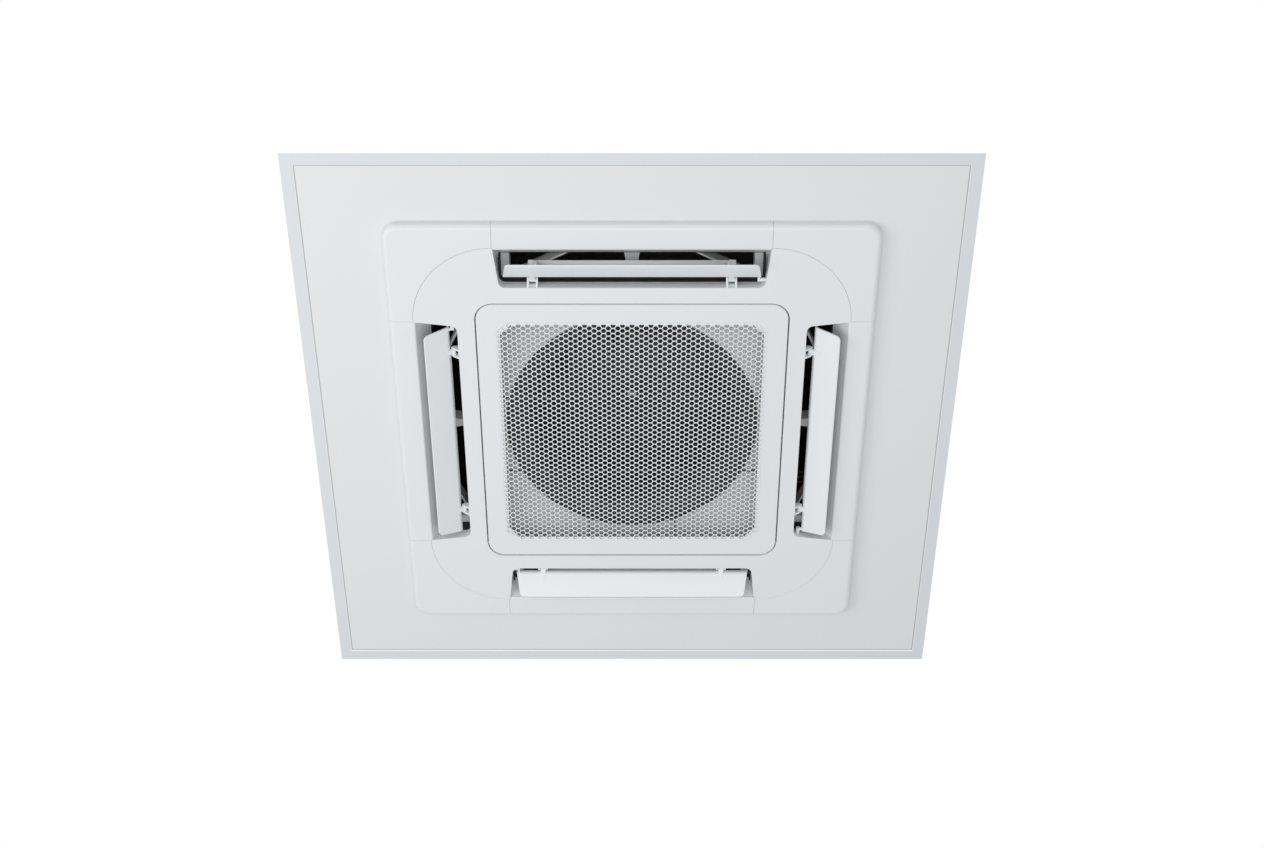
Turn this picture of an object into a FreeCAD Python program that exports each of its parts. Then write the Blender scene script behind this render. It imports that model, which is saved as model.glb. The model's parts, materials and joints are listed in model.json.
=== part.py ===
"""Four-way ceiling cassette air conditioner, built as separate pieces, in millimetres.

Heights are written from the ceiling plane, with +Z up. Each piece is shifted to its place at export, so that
the origin is the middle of the four hanger bolts. The front is -Y, the side nearest to the viewer.
An outlet is drawn at the front, with r measured from the middle towards -Y and t along X, and then turned.
The panel's half width sets the outlets, the grille, the coil, the fan and the casing, each by its own step.
"""
import FreeCAD
import Part
import math
import os
from FreeCAD import Vector

# Hanging
HANGER_ABOVE_CEILING = 145.0
HANGER_INSET_X = 30.0
HANGER_INSET_Y = 65.0
HANGER_SLOT_LENGTH = 30.0
HANGER_SLOT_WIDTH = 12.0
HANGER_PLATE = 2.3
HANGER_REACH = 44.0
HANGER_WIDTH = 72.0
HANGER_DROP = 60.0

# Decoration panel
PANEL_HALF = 475.0
PANEL_CORNER = 31.0
PANEL_DEPTH = 20.0
PANEL_EDGE_ROUND = 11.0
SKIN = 3.0
SEAM = 0.4
FLANGE_RISE = 14.0
FLANGE_THICK = 3.0
RIB = 2.0
BAND_RIB_STEP = 180.0
BAND_WIDTH = 34.4
COVER_RIB_AT = 12.0
COVER_RIB_LENGTH = 20.0
SEAL_THICK = 3.0

# Outlets
TRIM_WIDTH = 48.0
TRIM_STEP = 1.0
OUTLET_WIDTH = 85.0
OUTLET_DRAFT = 10.0
OUTLET_CORNER = 14.0
OUTLET_LIP = 25.0
CORNER_REACH = 209.0
GUIDE_ROUND = 5.0
GUIDE_DEPTH = 29.0
GUIDE_ROOM = 4.0
DUCT_WALL = 3.0
WEDGE_OUTER = 32.0
WEDGE_INNER = 14.0
SLANT_RIB = 9.0
SLANT_OUTER_INSET = 137.0
SLANT_INNER_INSET = 27.0
END_BLOCK = 17.0
DUCT_RIB_RISE = 5.0
DUCT_RIB_HEIGHT = 32.0

# Flaps
FLAP_ANGLES = {"front": 38.0, "right": 31.0, "back": 34.0, "left": 31.0}
FLAP_AXIS_SETBACK = 11.0
FLAP_AXIS_RISE = 14.0
FLAP_REACH = 62.0
FLAP_THICK = 3.5
FLAP_BEVEL = 1.2
FLAP_END_GAP = 6.0
FLAP_TAPER = 7.0
FLAP_TIP_CORNER = 12.0
FLAP_CURL_START = 13.0
FLAP_CURL_RADIUS = 9.0
KNUCKLE_INSET = 58.0
KNUCKLE_RADIUS = 4.5
KNUCKLE_LENGTH = 12.4
FLAP_PIN_RADIUS = 2.5
FAIRING_START = 1.0
FAIRING_LENGTH = 30.0
FAIRING_DROP = 3.0
FAIRING_TIP_HALF = 1.5
FAIRING_TIP_RISE = 0.2
FAIRING_SINK = 0.5
VANE_INSET = 8.0
VANE_LIFT = 20.0
VANE_INNER = -3.0
VANE_OUTER = 35.0
VANE_RISE = 2.0
VANE_THICK = 2.5
ARM_THICK = 4.0
ARM_SETBACK = 10.0
ARM_SHOULDER = 13.0
END_ARM_BEVEL = 1.0
DRIVE_PIN_RADIUS = 4.0
CLIP_WALL = 4.0
CLIP_RADIUS = 5.0
CLIP_GAP = 0.3
CLIP_BACK = 2.0
CLIP_SETBACK = 1.0
RUNNING_FIT = 0.05
SWING_MOTOR_RADIUS = 10.0
SWING_MOTOR_LENGTH = 20.0
SOCKET_ROOM = 1.0
MOTOR_BOSS = 7.0
PLUG_INSET = 4.0
PLUG_HALF = 6.0
PLUG_SINK = 2.0
PLUG_RISE = 4.0

# Suction grille
GRILLE_GAP = 2.6
GRILLE_CORNER = 34.0
GRILLE_FACE = 2.5
GRILLE_SKIRT = 14.0
GRILLE_EDGE_BEVEL = 1.2
GRILLE_BORDER = 39.0
WINDOW_CORNER = 22.0
SHEET_THICK = 2.0
SHEET_FIT = 0.15
LEDGE_WIDTH = 7.0
LEDGE_THICK = 2.5
HOLE_COLUMN_PITCH = 64.4
HOLE_ROW_PITCH = 80.5
HOLE_BAR = 4.0
HOLE_POINT = 0.56
HOLE_FLAT = 0.25
HINGE_INSET = 28.0
HINGE_RISE = 7.0
HINGE_BOSS_RADIUS = 3.9
HINGE_BOSS_LENGTH = 8.0
HINGE_PIN_RADIUS = 2.0
HINGE_SHELF_ROOM = 20.0
LATCH_INSET = 70.0
LATCH_WIDTH = 20.0
LATCH_TRAVEL = 6.0
LATCH_RAIL = 3.0
LATCH_BACK = 2.0
LATCH_TOP_ROOM = 1.0
GRIP_HALF = 2.0
GRIP_RISE = 3.0
TONGUE_WIDTH = 12.0
TONGUE_HEIGHT = 4.0
TONGUE_RISE = 6.0
SLIDE_FIT = 0.3
SHELF_WIDTH = 21.6
SHELF_CORNER = 4.0
SHELF_DROP = 17.0
SHELF_THICK = 3.0

# Air filter
FILTER_INSET = 24.0
FILTER_BAR = 12.0
FILTER_CROSS_BAR = 4.0
FILTER_THICK = 3.0
NET_THICK = 0.6
NET_GAPS = 7
NET_THREAD = 3.0

# Casing
CASING_CHAMFER = 125.0
CASING_LOW = 25.0
CASING_HEIGHT = 256.0
SHEET_STEEL = 1.2
CASING_LIP = 20.0
PRESSING = 3.0
PRESSED_RIB = 14.0
LINER_THICK = 15.0
LINER_TOP = 12.0
LINER_FIT = 0.3
SCREW_RADIUS = 3.0
SCREW_HEAD_RADIUS = 6.0
SCREW_HEAD_HEIGHT = 3.5
CASING_SCREW_RADIUS = 4.0
CASING_SCREW_HEIGHT = 2.0
CASING_SCREW_INSET = 8.0
SCREW_HEAD_ROOM = 2.0
SPACER_RADIUS = 8.0
PANEL_BRACKET_WIDTH = 40.0

# Drain pan and bell mouth
PAN_HEIGHT = 50.0
PAN_FLOOR = 25.0
PAN_WALL = 3.5
PAN_SLOT_SETBACK = 1.0
PAN_OPENING_ROOM = 1.5
CHANNEL_ROOM = 5.0
BELL_GAP = 3.5
BELL_CURVE = 52.0
BELL_WALL = 2.5
BELL_THROAT_LENGTH = 13.5
BELL_FLANGE = 6.0
BELL_CONES = 5

# Coil
COIL_SETBACK = 12.0
COIL_DEPTH = 42.0
COIL_CORNER = 80.0
COIL_OPEN = 130.0
COIL_PLATE = 2.0
TUBE_RADIUS = 4.0
TUBE_BEND_RADIUS = 10.0
TUBE_BEND_REACH = 18.0
TUBE_FIRST = 40.0
TUBE_ROWS = 4

# Fan and motor
FAN_GAP = 48.0
FAN_EYE_STEP = 34.0
FAN_OVERLAP = 6.0
FAN_RING_HEIGHT = 26.0
FAN_PLATE_DROP = 32.0
FAN_WALL = 3.0
FAN_BLADES = 7
BLADE_LENGTH = 90.0
BLADE_RISE = 14.0
BLADE_SWEEP = 38.0
BLADE_BOW = 8.0
BLADE_BOW_SHARE = 0.42
BLADE_MIDDLE_THICK = 7.2
BLADE_ROOT_THICK = 6.0
FAN_BOSS_RADIUS = 15.0
FAN_BOSS_DROP = 40.0
FAN_BOSS_HEIGHT = 10.0
FAN_DOME_SETBACK = 11.0
SHAFT_RADIUS = 6.0
SHAFT_END = 14.0
MOTOR_DOME_ROOM = 9.3125
MOTOR_HEIGHT = 66.0
MOTOR_FLANGE_DROP = 11.0
MOTOR_FLANGE_RADIUS = 100.0
MOTOR_FLANGE_THICK = 4.0
MOTOR_BEVEL = 10.0
MOTOR_BORE_END = 7.0
SHAFT_END_GAP = 1.0
MOTOR_MOUNT_RADIUS = 10.0
MOTOR_MOUNT_AT = 86.0
NUT_HEIGHT = 8.0
NUT_RADIUS = 11.0

# Pipes, drain and electrics
PIPE_SETBACK = 45.0
PIPE_SPACING = 40.0
GAS_PIPE_DROP = 76.0
GAS_PIPE_RADIUS = 7.94
LIQUID_PIPE_RADIUS = 4.76
GAS_THREAD_RADIUS = 11.1
LIQUID_THREAD_RADIUS = 7.94
UNION_GAP = 10.0
UNION_HEX = 14.0
UNION_HEX_SHARE = 1.35
UNION_STUB = 18.0
HEADER_RADIUS = 9.5
HEADER_GAP = 6.0
GAS_HEADER_RISE = 45.0
LIQUID_HEADER_RISE = 17.0
PLATE_MARGIN = 14.0
PLATE_EDGE_ROOM = 2.0
DRAIN_SETBACK = 27.0
DRAIN_RISE = 33.0
DRAIN_PIPE_RADIUS = 12.0
DRAIN_OVERLAP = 15.0
DRAIN_SOCKET_RADIUS = 16.0
DRAIN_SOCKET_LENGTH = 50.0
PUMP_RADIUS = 30.0
PUMP_INSET = 20.0
PUMP_DROP = 25.0
PUMP_LIFT = 4.0
FLOAT_RADIUS = 12.0
FLOAT_HEIGHT = 14.0
FLOAT_TRAVEL = 12.0
FLOAT_STEM_RADIUS = 4.0
FLOAT_STEM_LENGTH = 55.0
FLOAT_STOP_RADIUS = 8.0
FLOAT_FOOT_HEIGHT = 5.0
HOLE_ROOM = 2.0
CONTROL_LENGTH = 300.0
CONTROL_HEIGHT = 120.0
CONTROL_DEPTH = 44.0
CONTROL_RISE = 75.0
COVER_FOLD = 12.0

# How finely round forms are divided, and how far a cutting shape runs past the face it cuts
SMALL_SIDES = 8
LATHE_SIDES = 36
CORNER_CHORDS = 6
EDGE_CHORDS = 5
CURL_CHORDS = 5
BLADE_CHORDS = 6
PIPE_SIDES = 16
CUT = 1.0
THROUGH = 1000.0

# Worked out: panel and outlets
FACE_Z = -PANEL_DEPTH
SKIN_TOP = FACE_Z + SKIN
FLANGE_LOW = FACE_Z + FLANGE_RISE
FLANGE_TOP = FLANGE_LOW + FLANGE_THICK
DUCT_TOP = CASING_LOW - SEAL_THICK
LIP_TOP = FACE_Z + OUTLET_LIP
GUIDE_START = PANEL_HALF - TRIM_WIDTH
GUIDE_TOP = GUIDE_START - GUIDE_DEPTH
OUTLET_INNER = GUIDE_START - OUTLET_WIDTH
OUTLET_OUTER_HALF = PANEL_HALF - CORNER_REACH
OUTLET_INNER_HALF = OUTLET_OUTER_HALF - OUTLET_DRAFT
TRIM_HALF = OUTLET_OUTER_HALF + TRIM_STEP
LOBE_RADIUS = GUIDE_START - TRIM_HALF
SCREW_RING = LOBE_RADIUS + SEAM + SKIN + SCREW_HEAD_RADIUS + SCREW_HEAD_ROOM
PANEL_SCREW_AT = TRIM_HALF + SCREW_RING / math.sqrt(2.0)

# Worked out: flaps
FLAP_AXIS_R = OUTLET_INNER + FLAP_AXIS_SETBACK
FLAP_AXIS_Z = FACE_Z + FLAP_AXIS_RISE
FLAP_ROOT_HALF = OUTLET_INNER_HALF - FLAP_END_GAP
FLAP_TIP_HALF = FLAP_ROOT_HALF - FLAP_TAPER
KNUCKLE_AT = FLAP_ROOT_HALF - KNUCKLE_INSET
VANE_HALF = KNUCKLE_AT - VANE_INSET

# Worked out: grille and filter
OPENING_HALF = OUTLET_INNER - BAND_WIDTH
OPENING_CORNER = GRILLE_CORNER + GRILLE_GAP
GRILLE_HALF = OPENING_HALF - GRILLE_GAP
WINDOW_HALF = GRILLE_HALF - GRILLE_BORDER
FILTER_HALF = GRILLE_HALF - FILTER_INSET
SHELF_INNER = OPENING_HALF - SHELF_WIDTH
SHELF_LOW = DUCT_TOP - SHELF_DROP
LATCH_AT = WINDOW_HALF - LATCH_INSET
HINGE_Y = GRILLE_HALF - HINGE_INSET
HINGE_Z = FACE_Z + HINGE_RISE
GRILLE_FACE_TOP = FACE_Z + GRILLE_FACE
GRILLE_LEDGE_TOP = FACE_Z + SHEET_THICK + LEDGE_THICK
SKIRT_TOP = FACE_Z + GRILLE_SKIRT
FILTER_TOP = GRILLE_LEDGE_TOP + FILTER_THICK

# Worked out: casing, pan and coil
PAN_SLOT_OUTER = GUIDE_TOP - PAN_SLOT_SETBACK
PAN_SLOT_HALF = OUTLET_INNER_HALF - PAN_SLOT_SETBACK
CASING_HALF = PAN_SLOT_OUTER + DUCT_WALL + PAN_WALL + LINER_FIT + LINER_THICK + SHEET_STEEL
CASING_TOP = CASING_LOW + CASING_HEIGHT
CHAMFER_REACH = (2.0 * CASING_HALF - CASING_CHAMFER) / math.sqrt(2.0)
LINER_ROOF = CASING_TOP - LINER_TOP
PAN_TOP = CASING_LOW + PAN_HEIGHT
PAN_CHANNEL_FLOOR = CASING_LOW + PAN_FLOOR
DUCT_RIB_LOW = CASING_LOW + DUCT_RIB_RISE
DUCT_RIB_HIGH = DUCT_RIB_LOW + DUCT_RIB_HEIGHT
COIL_OUTER = OUTLET_INNER - COIL_SETBACK
COIL_INNER = COIL_OUTER - COIL_DEPTH
COIL_END = COIL_OUTER - COIL_OPEN
TUBE_STEP = (LINER_ROOF - PAN_CHANNEL_FLOOR - 2.0 * TUBE_FIRST) / (TUBE_ROWS - 1)

# Worked out: fan, bell mouth and motor
FAN_RADIUS = COIL_INNER - FAN_GAP
FAN_EYE_RADIUS = FAN_RADIUS - FAN_EYE_STEP
BELL_THROAT_RADIUS = FAN_EYE_RADIUS - BELL_GAP - BELL_WALL
BELL_LIP_RADIUS = BELL_THROAT_RADIUS + BELL_CURVE
BELL_LOW = CASING_LOW - BELL_WALL
BELL_TOP = BELL_LOW + BELL_CURVE + BELL_THROAT_LENGTH
PAN_OPENING_RADIUS = BELL_LIP_RADIUS + PAN_OPENING_ROOM
FAN_LOW = BELL_TOP - FAN_OVERLAP
FAN_RING_Z = FAN_LOW + FAN_RING_HEIGHT
BLADE_LOW = FAN_LOW + BLADE_RISE
BLADE_INNER_RADIUS = FAN_RADIUS - BLADE_LENGTH
MOTOR_FLANGE_Z = LINER_ROOF - MOTOR_FLANGE_DROP
MOTOR_LOW = MOTOR_FLANGE_Z - MOTOR_HEIGHT
FAN_PLATE_Z = MOTOR_FLANGE_Z - FAN_PLATE_DROP
FAN_BOSS_LOW = MOTOR_LOW - FAN_BOSS_DROP
DOME_TOP = FAN_BOSS_LOW + FAN_BOSS_HEIGHT
DOME_FOOT_RADIUS = BLADE_INNER_RADIUS - FAN_DOME_SETBACK
DOME_SLOPE = (DOME_FOOT_RADIUS - FAN_BOSS_RADIUS) / (FAN_PLATE_Z - DOME_TOP)
DOME_RADIUS_AT_MOTOR = FAN_BOSS_RADIUS + (MOTOR_LOW - DOME_TOP - FAN_WALL) * DOME_SLOPE
MOTOR_RADIUS = DOME_RADIUS_AT_MOTOR + MOTOR_BEVEL - MOTOR_DOME_ROOM
SHAFT_LOW = FAN_BOSS_LOW - SHAFT_END

# Worked out: pipes, drain and electrics
PIPE_Y = COIL_END + PIPE_SETBACK
GAS_PIPE_Z = CASING_TOP - GAS_PIPE_DROP
LIQUID_PIPE_Z = GAS_PIPE_Z - PIPE_SPACING
DRAIN_Y = PIPE_Y + DRAIN_SETBACK
DRAIN_Z = GAS_PIPE_Z + DRAIN_RISE
DRAIN_SOCKET_START = CASING_HALF + SHEET_STEEL
UNION_START = CASING_HALF + SHEET_STEEL + UNION_GAP
PUMP_X = COIL_OUTER - PUMP_INSET
PUMP_HIGH = LIQUID_PIPE_Z - PUMP_DROP
LIQUID_HEADER_LOW = PUMP_HIGH + HEADER_GAP
LIQUID_HEADER_HIGH = LIQUID_PIPE_Z + LIQUID_HEADER_RISE
GAS_HEADER_LOW = LIQUID_HEADER_HIGH + HEADER_GAP
GAS_HEADER_HIGH = GAS_PIPE_Z + GAS_HEADER_RISE
FLOAT_AT = Vector(DRAIN_Y, PUMP_X, PAN_CHANNEL_FLOOR)
CONTROL_LOW = CASING_LOW + CONTROL_RISE

SIDES = {"front": 0.0, "right": 90.0, "back": 180.0, "left": 270.0}
CORNERS = {"front_right": 0.0, "back_right": 90.0, "back_left": 180.0, "front_left": 270.0}
UP = Vector(0, 0, 1)
ORIGIN = Vector(0, 0, 0)


def box(x_low, x_high, y_low, y_high, z_low, z_high):
    """A plain box between two corners."""
    return Part.makeBox(x_high - x_low, y_high - y_low, z_high - z_low, Vector(x_low, y_low, z_low))


def outlet_box(t_low, t_high, r_low, r_high, z_low, z_high):
    """A box placed on the front outlet by t and r."""
    return box(t_low, t_high, -r_high, -r_low, z_low, z_high)


def flat_face(corners):
    """A flat face inside a run of corners."""
    return Part.Face(Part.makePolygon(corners + corners[:1]))


def prism(points, z_low, z_high):
    """A straight prism over a plan outline."""
    return flat_face([Vector(x, y, z_low) for x, y in points]).extrude(Vector(0, 0, z_high - z_low))


def both_halves(points):
    """A plan outline from the points of its right half."""
    return points + [(-x, y) for x, y in reversed(points)]


def chords(middle, radius, start, end, steps):
    """Points along an arc between two angles in degrees."""
    points = []
    for step in range(steps + 1):
        angle = math.radians(start + (end - start) * step / steps)
        points.append((middle[0] + radius * math.cos(angle), middle[1] + radius * math.sin(angle)))
    return points


def rod(radius, start, end):
    """A round rod between two points."""
    along = end - start
    return Part.makeCylinder(radius, along.Length, start, along)


def small_rod(radius, start, end, sides=SMALL_SIDES):
    """A rod with flats in place of its round wall, for small pieces that repeat."""
    along = end - start
    turn = FreeCAD.Rotation(UP, along)
    round_points = chords((0.0, 0.0), radius, 0.0, 360.0, sides)[:-1]
    return flat_face([start + turn.multVec(Vector(x, y, 0)) for x, y in round_points]).extrude(along)


def small_bore(radius, start, end, sides=SMALL_SIDES):
    """The hole for such a rod: its flats touch a circle of this radius."""
    return small_rod(radius / math.cos(math.pi / sides), start, end, sides)


def rounded_square(half, corner, z_low, z_high):
    """A square prism about the Z axis with rounded corners."""
    flat = half - corner
    slope = corner / math.sqrt(2.0)
    edges = []
    for quarter in range(4):
        turn = FreeCAD.Rotation(UP, 90.0 * quarter)
        side_start = turn.multVec(Vector(half, -flat, z_low))
        side_end = turn.multVec(Vector(half, flat, z_low))
        arc_middle = turn.multVec(Vector(flat + slope, flat + slope, z_low))
        arc_end = turn.multVec(Vector(flat, half, z_low))
        edges.append(Part.LineSegment(side_start, side_end).toShape())
        edges.append(Part.Arc(side_end, arc_middle, arc_end).toShape())
    return Part.Face(Part.Wire(edges)).extrude(Vector(0, 0, z_high - z_low))


def soft_square(half, corner):
    """The plan points of a square with its corners rounded in chords."""
    flat = half - corner
    points = []
    for quarter in range(4):
        middle = FreeCAD.Rotation(UP, 90.0 * quarter).multVec(Vector(flat, flat, 0))
        points += chords((middle.x, middle.y), corner, 90.0 * quarter, 90.0 * quarter + 90.0, CORNER_CHORDS)
    return points


def soft_ring(outer, outer_corner, inner, inner_corner, z_low, z_high):
    """A square frame about the Z axis with its corners rounded in chords."""
    return prism(soft_square(outer, outer_corner), z_low, z_high).cut(
        prism(soft_square(inner, inner_corner), z_low, z_high))


def octagon(inset, z_low, z_high):
    """The casing's outline, a square with cut corners, moved inwards by an inset."""
    half = CASING_HALF - inset
    flat = half - (CASING_CHAMFER - inset * (2.0 - math.sqrt(2.0)))
    points = []
    for quarter in range(4):
        turn = FreeCAD.Rotation(UP, 90.0 * quarter)
        for y in (-flat, flat):
            corner = turn.multVec(Vector(half, y, 0))
            points.append((corner.x, corner.y))
    return prism(points, z_low, z_high)


def along_outlet(points, t_low, t_high):
    """Draws an outline of (r, z) points out along the front outlet."""
    return flat_face([Vector(t_low, -r, z) for r, z in points]).extrude(Vector(t_high - t_low, 0, 0))


def closed_solid(faces):
    """One solid from flat faces that close round it."""
    solid = Part.Solid(Part.Shell(faces))
    if solid.Volume < 0.0:
        solid.reverse()
    return solid.removeSplitter()


def lathe(points):
    """Turns a closed (r, z) outline about the Z axis in flat facets, which keeps wide rings light."""
    rings = []
    for side in range(LATHE_SIDES):
        turn = FreeCAD.Rotation(UP, 360.0 * side / LATHE_SIDES)
        rings.append([turn.multVec(Vector(r, 0, z)) for r, z in points])
    faces = []
    for side in range(LATHE_SIDES):
        here = rings[side]
        there = rings[(side + 1) % LATHE_SIDES]
        for index in range(len(points)):
            after = (index + 1) % len(points)
            corners = [here[index], here[after]]
            if points[after][0] > 0.0:
                corners.append(there[after])
            if points[index][0] > 0.0:
                corners.append(there[index])
            if len(corners) > 2:
                faces.append(flat_face(corners))
    return closed_solid(faces)


def turned(shape, angle):
    """A copy turned about the Z axis."""
    copy = shape.copy()
    copy.rotate(ORIGIN, UP, angle)
    return copy


def mirrored_x(shape):
    """A copy on the other side of the YZ plane."""
    return shape.mirror(ORIGIN, Vector(1, 0, 0))


def joined(shapes):
    """One solid from several that meet."""
    return shapes[0].multiFuse(shapes[1:]).removeSplitter()


def group(shapes):
    """Separate solids that share one node."""
    solids = [solid for shape in shapes for solid in shape.Solids]
    return Part.makeCompound(solids)


def four_turns(shape):
    """The same solid at each of the four sides."""
    return [turned(shape, angle) for angle in SIDES.values()]


def export(name, shape):
    """Writes one node, moved from the ceiling plane to the hanger plane."""
    placed = shape.copy()
    placed.translate(Vector(0, 0, -HANGER_ABOVE_CEILING))
    placed.exportStep("parts/" + name + ".step")
    print(name, len(placed.Solids), "solids", "valid" if placed.isValid() else "not valid")


# The panel

def outlet_end(r):
    """How far an outlet's end lies from its middle, at r."""
    slope = (OUTLET_OUTER_HALF - OUTLET_INNER_HALF) / (GUIDE_START - OUTLET_INNER)
    return OUTLET_INNER_HALF + (r - OUTLET_INNER) * slope


def outlet_opening(z_low, z_high):
    """The front outlet's open space, out to the trim's place."""
    opening = prism(both_halves([
        (OUTLET_INNER_HALF, -OUTLET_INNER),
        (OUTLET_OUTER_HALF, -GUIDE_START),
        (TRIM_HALF, -GUIDE_START),
        (TRIM_HALF, -GUIDE_START - SKIN - CUT),
    ]), z_low, z_high)
    corners = [
        edge for edge in opening.Edges
        if all(abs(vertex.Y + OUTLET_INNER) < SEAM for vertex in edge.Vertexes)
        and abs(edge.Length - (z_high - z_low)) < SEAM
    ]
    return opening.makeFillet(OUTLET_CORNER, corners)


def outlet_walls():
    """The front outlet's inner wall and end walls, before the opening is cut."""
    r_low = OUTLET_INNER - SKIN
    walls = prism(both_halves([
        (outlet_end(r_low) + SKIN, -r_low),
        (OUTLET_OUTER_HALF + SKIN, -GUIDE_START + SEAM),
    ]), FACE_Z, LIP_TOP)
    axis_end = outlet_end(FLAP_AXIS_R)
    boss = small_rod(SWING_MOTOR_RADIUS, Vector(axis_end, -FLAP_AXIS_R, FLAP_AXIS_Z),
                     Vector(axis_end + MOTOR_BOSS, -FLAP_AXIS_R, FLAP_AXIS_Z))
    return walls.fuse(boss)


def band_ribs():
    """Thin ribs across the band between the grille opening and the front outlet."""
    ribs = []
    for step in (-1, 0, 1):
        middle = step * BAND_RIB_STEP
        ribs.append(outlet_box(middle - RIB / 2, middle + RIB / 2, OPENING_HALF + SKIN, OUTLET_INNER - RIB,
                               SKIN_TOP - RIB, LIP_TOP))
    return ribs


def panel_frame():
    """The main moulding: the face with its lobes, the low outlet walls and the flange."""
    half = GUIDE_START - SEAM / 2
    corner = LOBE_RADIUS - SEAM / 2
    face = rounded_square(half, corner, FACE_Z, FLANGE_TOP)
    face = face.cut(prism(soft_square(half - SKIN, corner - SKIN), SKIN_TOP, FLANGE_TOP))
    flange = soft_ring(PANEL_HALF - SKIN - SEAM, PANEL_CORNER - SKIN - SEAM, half - SKIN, corner - SKIN,
                       FLANGE_LOW, FLANGE_TOP)
    walls = four_turns(outlet_walls())
    ribs = [turned(rib, angle) for rib in band_ribs() for angle in SIDES.values()]
    frame = joined([face, flange] + walls + ribs)
    openings = four_turns(outlet_opening(FACE_Z - CUT, LIP_TOP + CUT))
    openings.append(rounded_square(OPENING_HALF, OPENING_CORNER, FACE_Z - CUT, SKIN_TOP + CUT))
    frame = frame.cut(Part.makeCompound(openings))
    screw_hole = small_bore(SCREW_RADIUS + SLIDE_FIT, Vector(PANEL_SCREW_AT, PANEL_SCREW_AT, FLANGE_LOW),
                            Vector(PANEL_SCREW_AT, PANEL_SCREW_AT, FLANGE_TOP))
    drive_end = outlet_end(FLAP_AXIS_R) + MOTOR_BOSS
    drive_hole = small_bore(DRIVE_PIN_RADIUS + 2 * SLIDE_FIT, Vector(FLAP_ROOT_HALF, -FLAP_AXIS_R, FLAP_AXIS_Z),
                            Vector(drive_end, -FLAP_AXIS_R, FLAP_AXIS_Z))
    return frame.cut(Part.makeCompound(four_turns(screw_hole) + four_turns(drive_hole)))


def hinge_boss():
    """The boss behind the right wall of the grille opening that holds the grille's hinge pin."""
    start = Vector(OPENING_HALF + SKIN / 2, HINGE_Y, HINGE_Z)
    return small_rod(HINGE_BOSS_RADIUS, start, start + Vector(HINGE_BOSS_LENGTH, 0, 0))


def hinge_bore():
    """The bore through the right wall and its boss."""
    start = Vector(GRILLE_HALF, HINGE_Y, HINGE_Z)
    end = start + Vector(GRILLE_GAP + SKIN + HINGE_BOSS_LENGTH, 0, 0)
    return small_bore(HINGE_PIN_RADIUS + RUNNING_FIT, start, end)


def latch_slot(x, r_low, r_high):
    """Room for a latch's tongue through a front wall."""
    half = TONGUE_WIDTH / 2 + 2 * SLIDE_FIT
    low = FACE_Z + TONGUE_RISE - SLIDE_FIT
    return outlet_box(x - half, x + half, r_low, r_high, low, low + TONGUE_HEIGHT + 2 * SLIDE_FIT)


def inlet_frame():
    """The deep wall round the grille opening, with its shelf, hinge bosses and latch slots."""
    wall = soft_ring(OPENING_HALF + SKIN, OPENING_CORNER + SKIN, OPENING_HALF, OPENING_CORNER, SKIN_TOP, DUCT_TOP)
    shelf_top = SHELF_LOW + SHELF_THICK
    shelf = soft_ring(OPENING_HALF + RIB, OPENING_CORNER + RIB, SHELF_INNER, SHELF_CORNER, SHELF_LOW, shelf_top)
    swing_room = box(-OPENING_HALF - SKIN, OPENING_HALF + SKIN, HINGE_Y - HINGE_SHELF_ROOM, OPENING_HALF + SKIN,
                     SHELF_LOW, shelf_top)
    frame = joined([wall, shelf.cut(swing_room), hinge_boss(), mirrored_x(hinge_boss())])
    holes = [hinge_bore(), mirrored_x(hinge_bore())]
    for x in (-LATCH_AT, LATCH_AT):
        holes.append(latch_slot(x, OPENING_HALF - CUT, OPENING_HALF + SKIN + CUT))
    return frame.cut(Part.makeCompound(holes))


def edge_line(inset):
    """The panel's outer edge in section, from the ceiling round to the face, as (r, z) points."""
    middle = (PANEL_HALF - PANEL_EDGE_ROUND, FACE_Z + PANEL_EDGE_ROUND)
    return [(PANEL_HALF - inset, 0.0)] + chords(middle, PANEL_EDGE_ROUND - inset, 0.0, -90.0, EDGE_CHORDS)


def guide_line(inset):
    """The trim's inner lip and the sloped wall above it that guides the air outwards, as (r, z) points."""
    middle = (GUIDE_START, FACE_Z + GUIDE_ROUND)
    return chords(middle, GUIDE_ROUND - inset, 270.0, 180.0, EDGE_CHORDS) + [(GUIDE_TOP + inset, DUCT_TOP)]


def outlet_trim():
    """The strip outside the front outlet with the wall that guides the air outwards."""
    outside = edge_line(0.0) + guide_line(0.0)
    inside = edge_line(SKIN) + guide_line(SKIN)
    half = TRIM_HALF - SEAM / 2
    strip = along_outlet(outside + inside[::-1], -half, half)
    plan = both_halves([
        (outlet_end(GUIDE_TOP - SKIN) - SEAM, -GUIDE_TOP + SKIN),
        (OUTLET_OUTER_HALF - SEAM, -GUIDE_START),
        (half, -GUIDE_START),
        (half, -PANEL_HALF - CUT),
    ])
    strip = strip.common(prism(plan, FACE_Z - CUT, DUCT_TOP + CUT))
    ribs = [
        outlet_box(t - RIB / 2, t + RIB / 2, GUIDE_START + SKIN, PANEL_HALF - PANEL_EDGE_ROUND, SKIN_TOP - RIB,
                   FLANGE_LOW) for t in (-BAND_RIB_STEP, 0.0, BAND_RIB_STEP)
    ]
    return joined([strip] + ribs)


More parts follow.
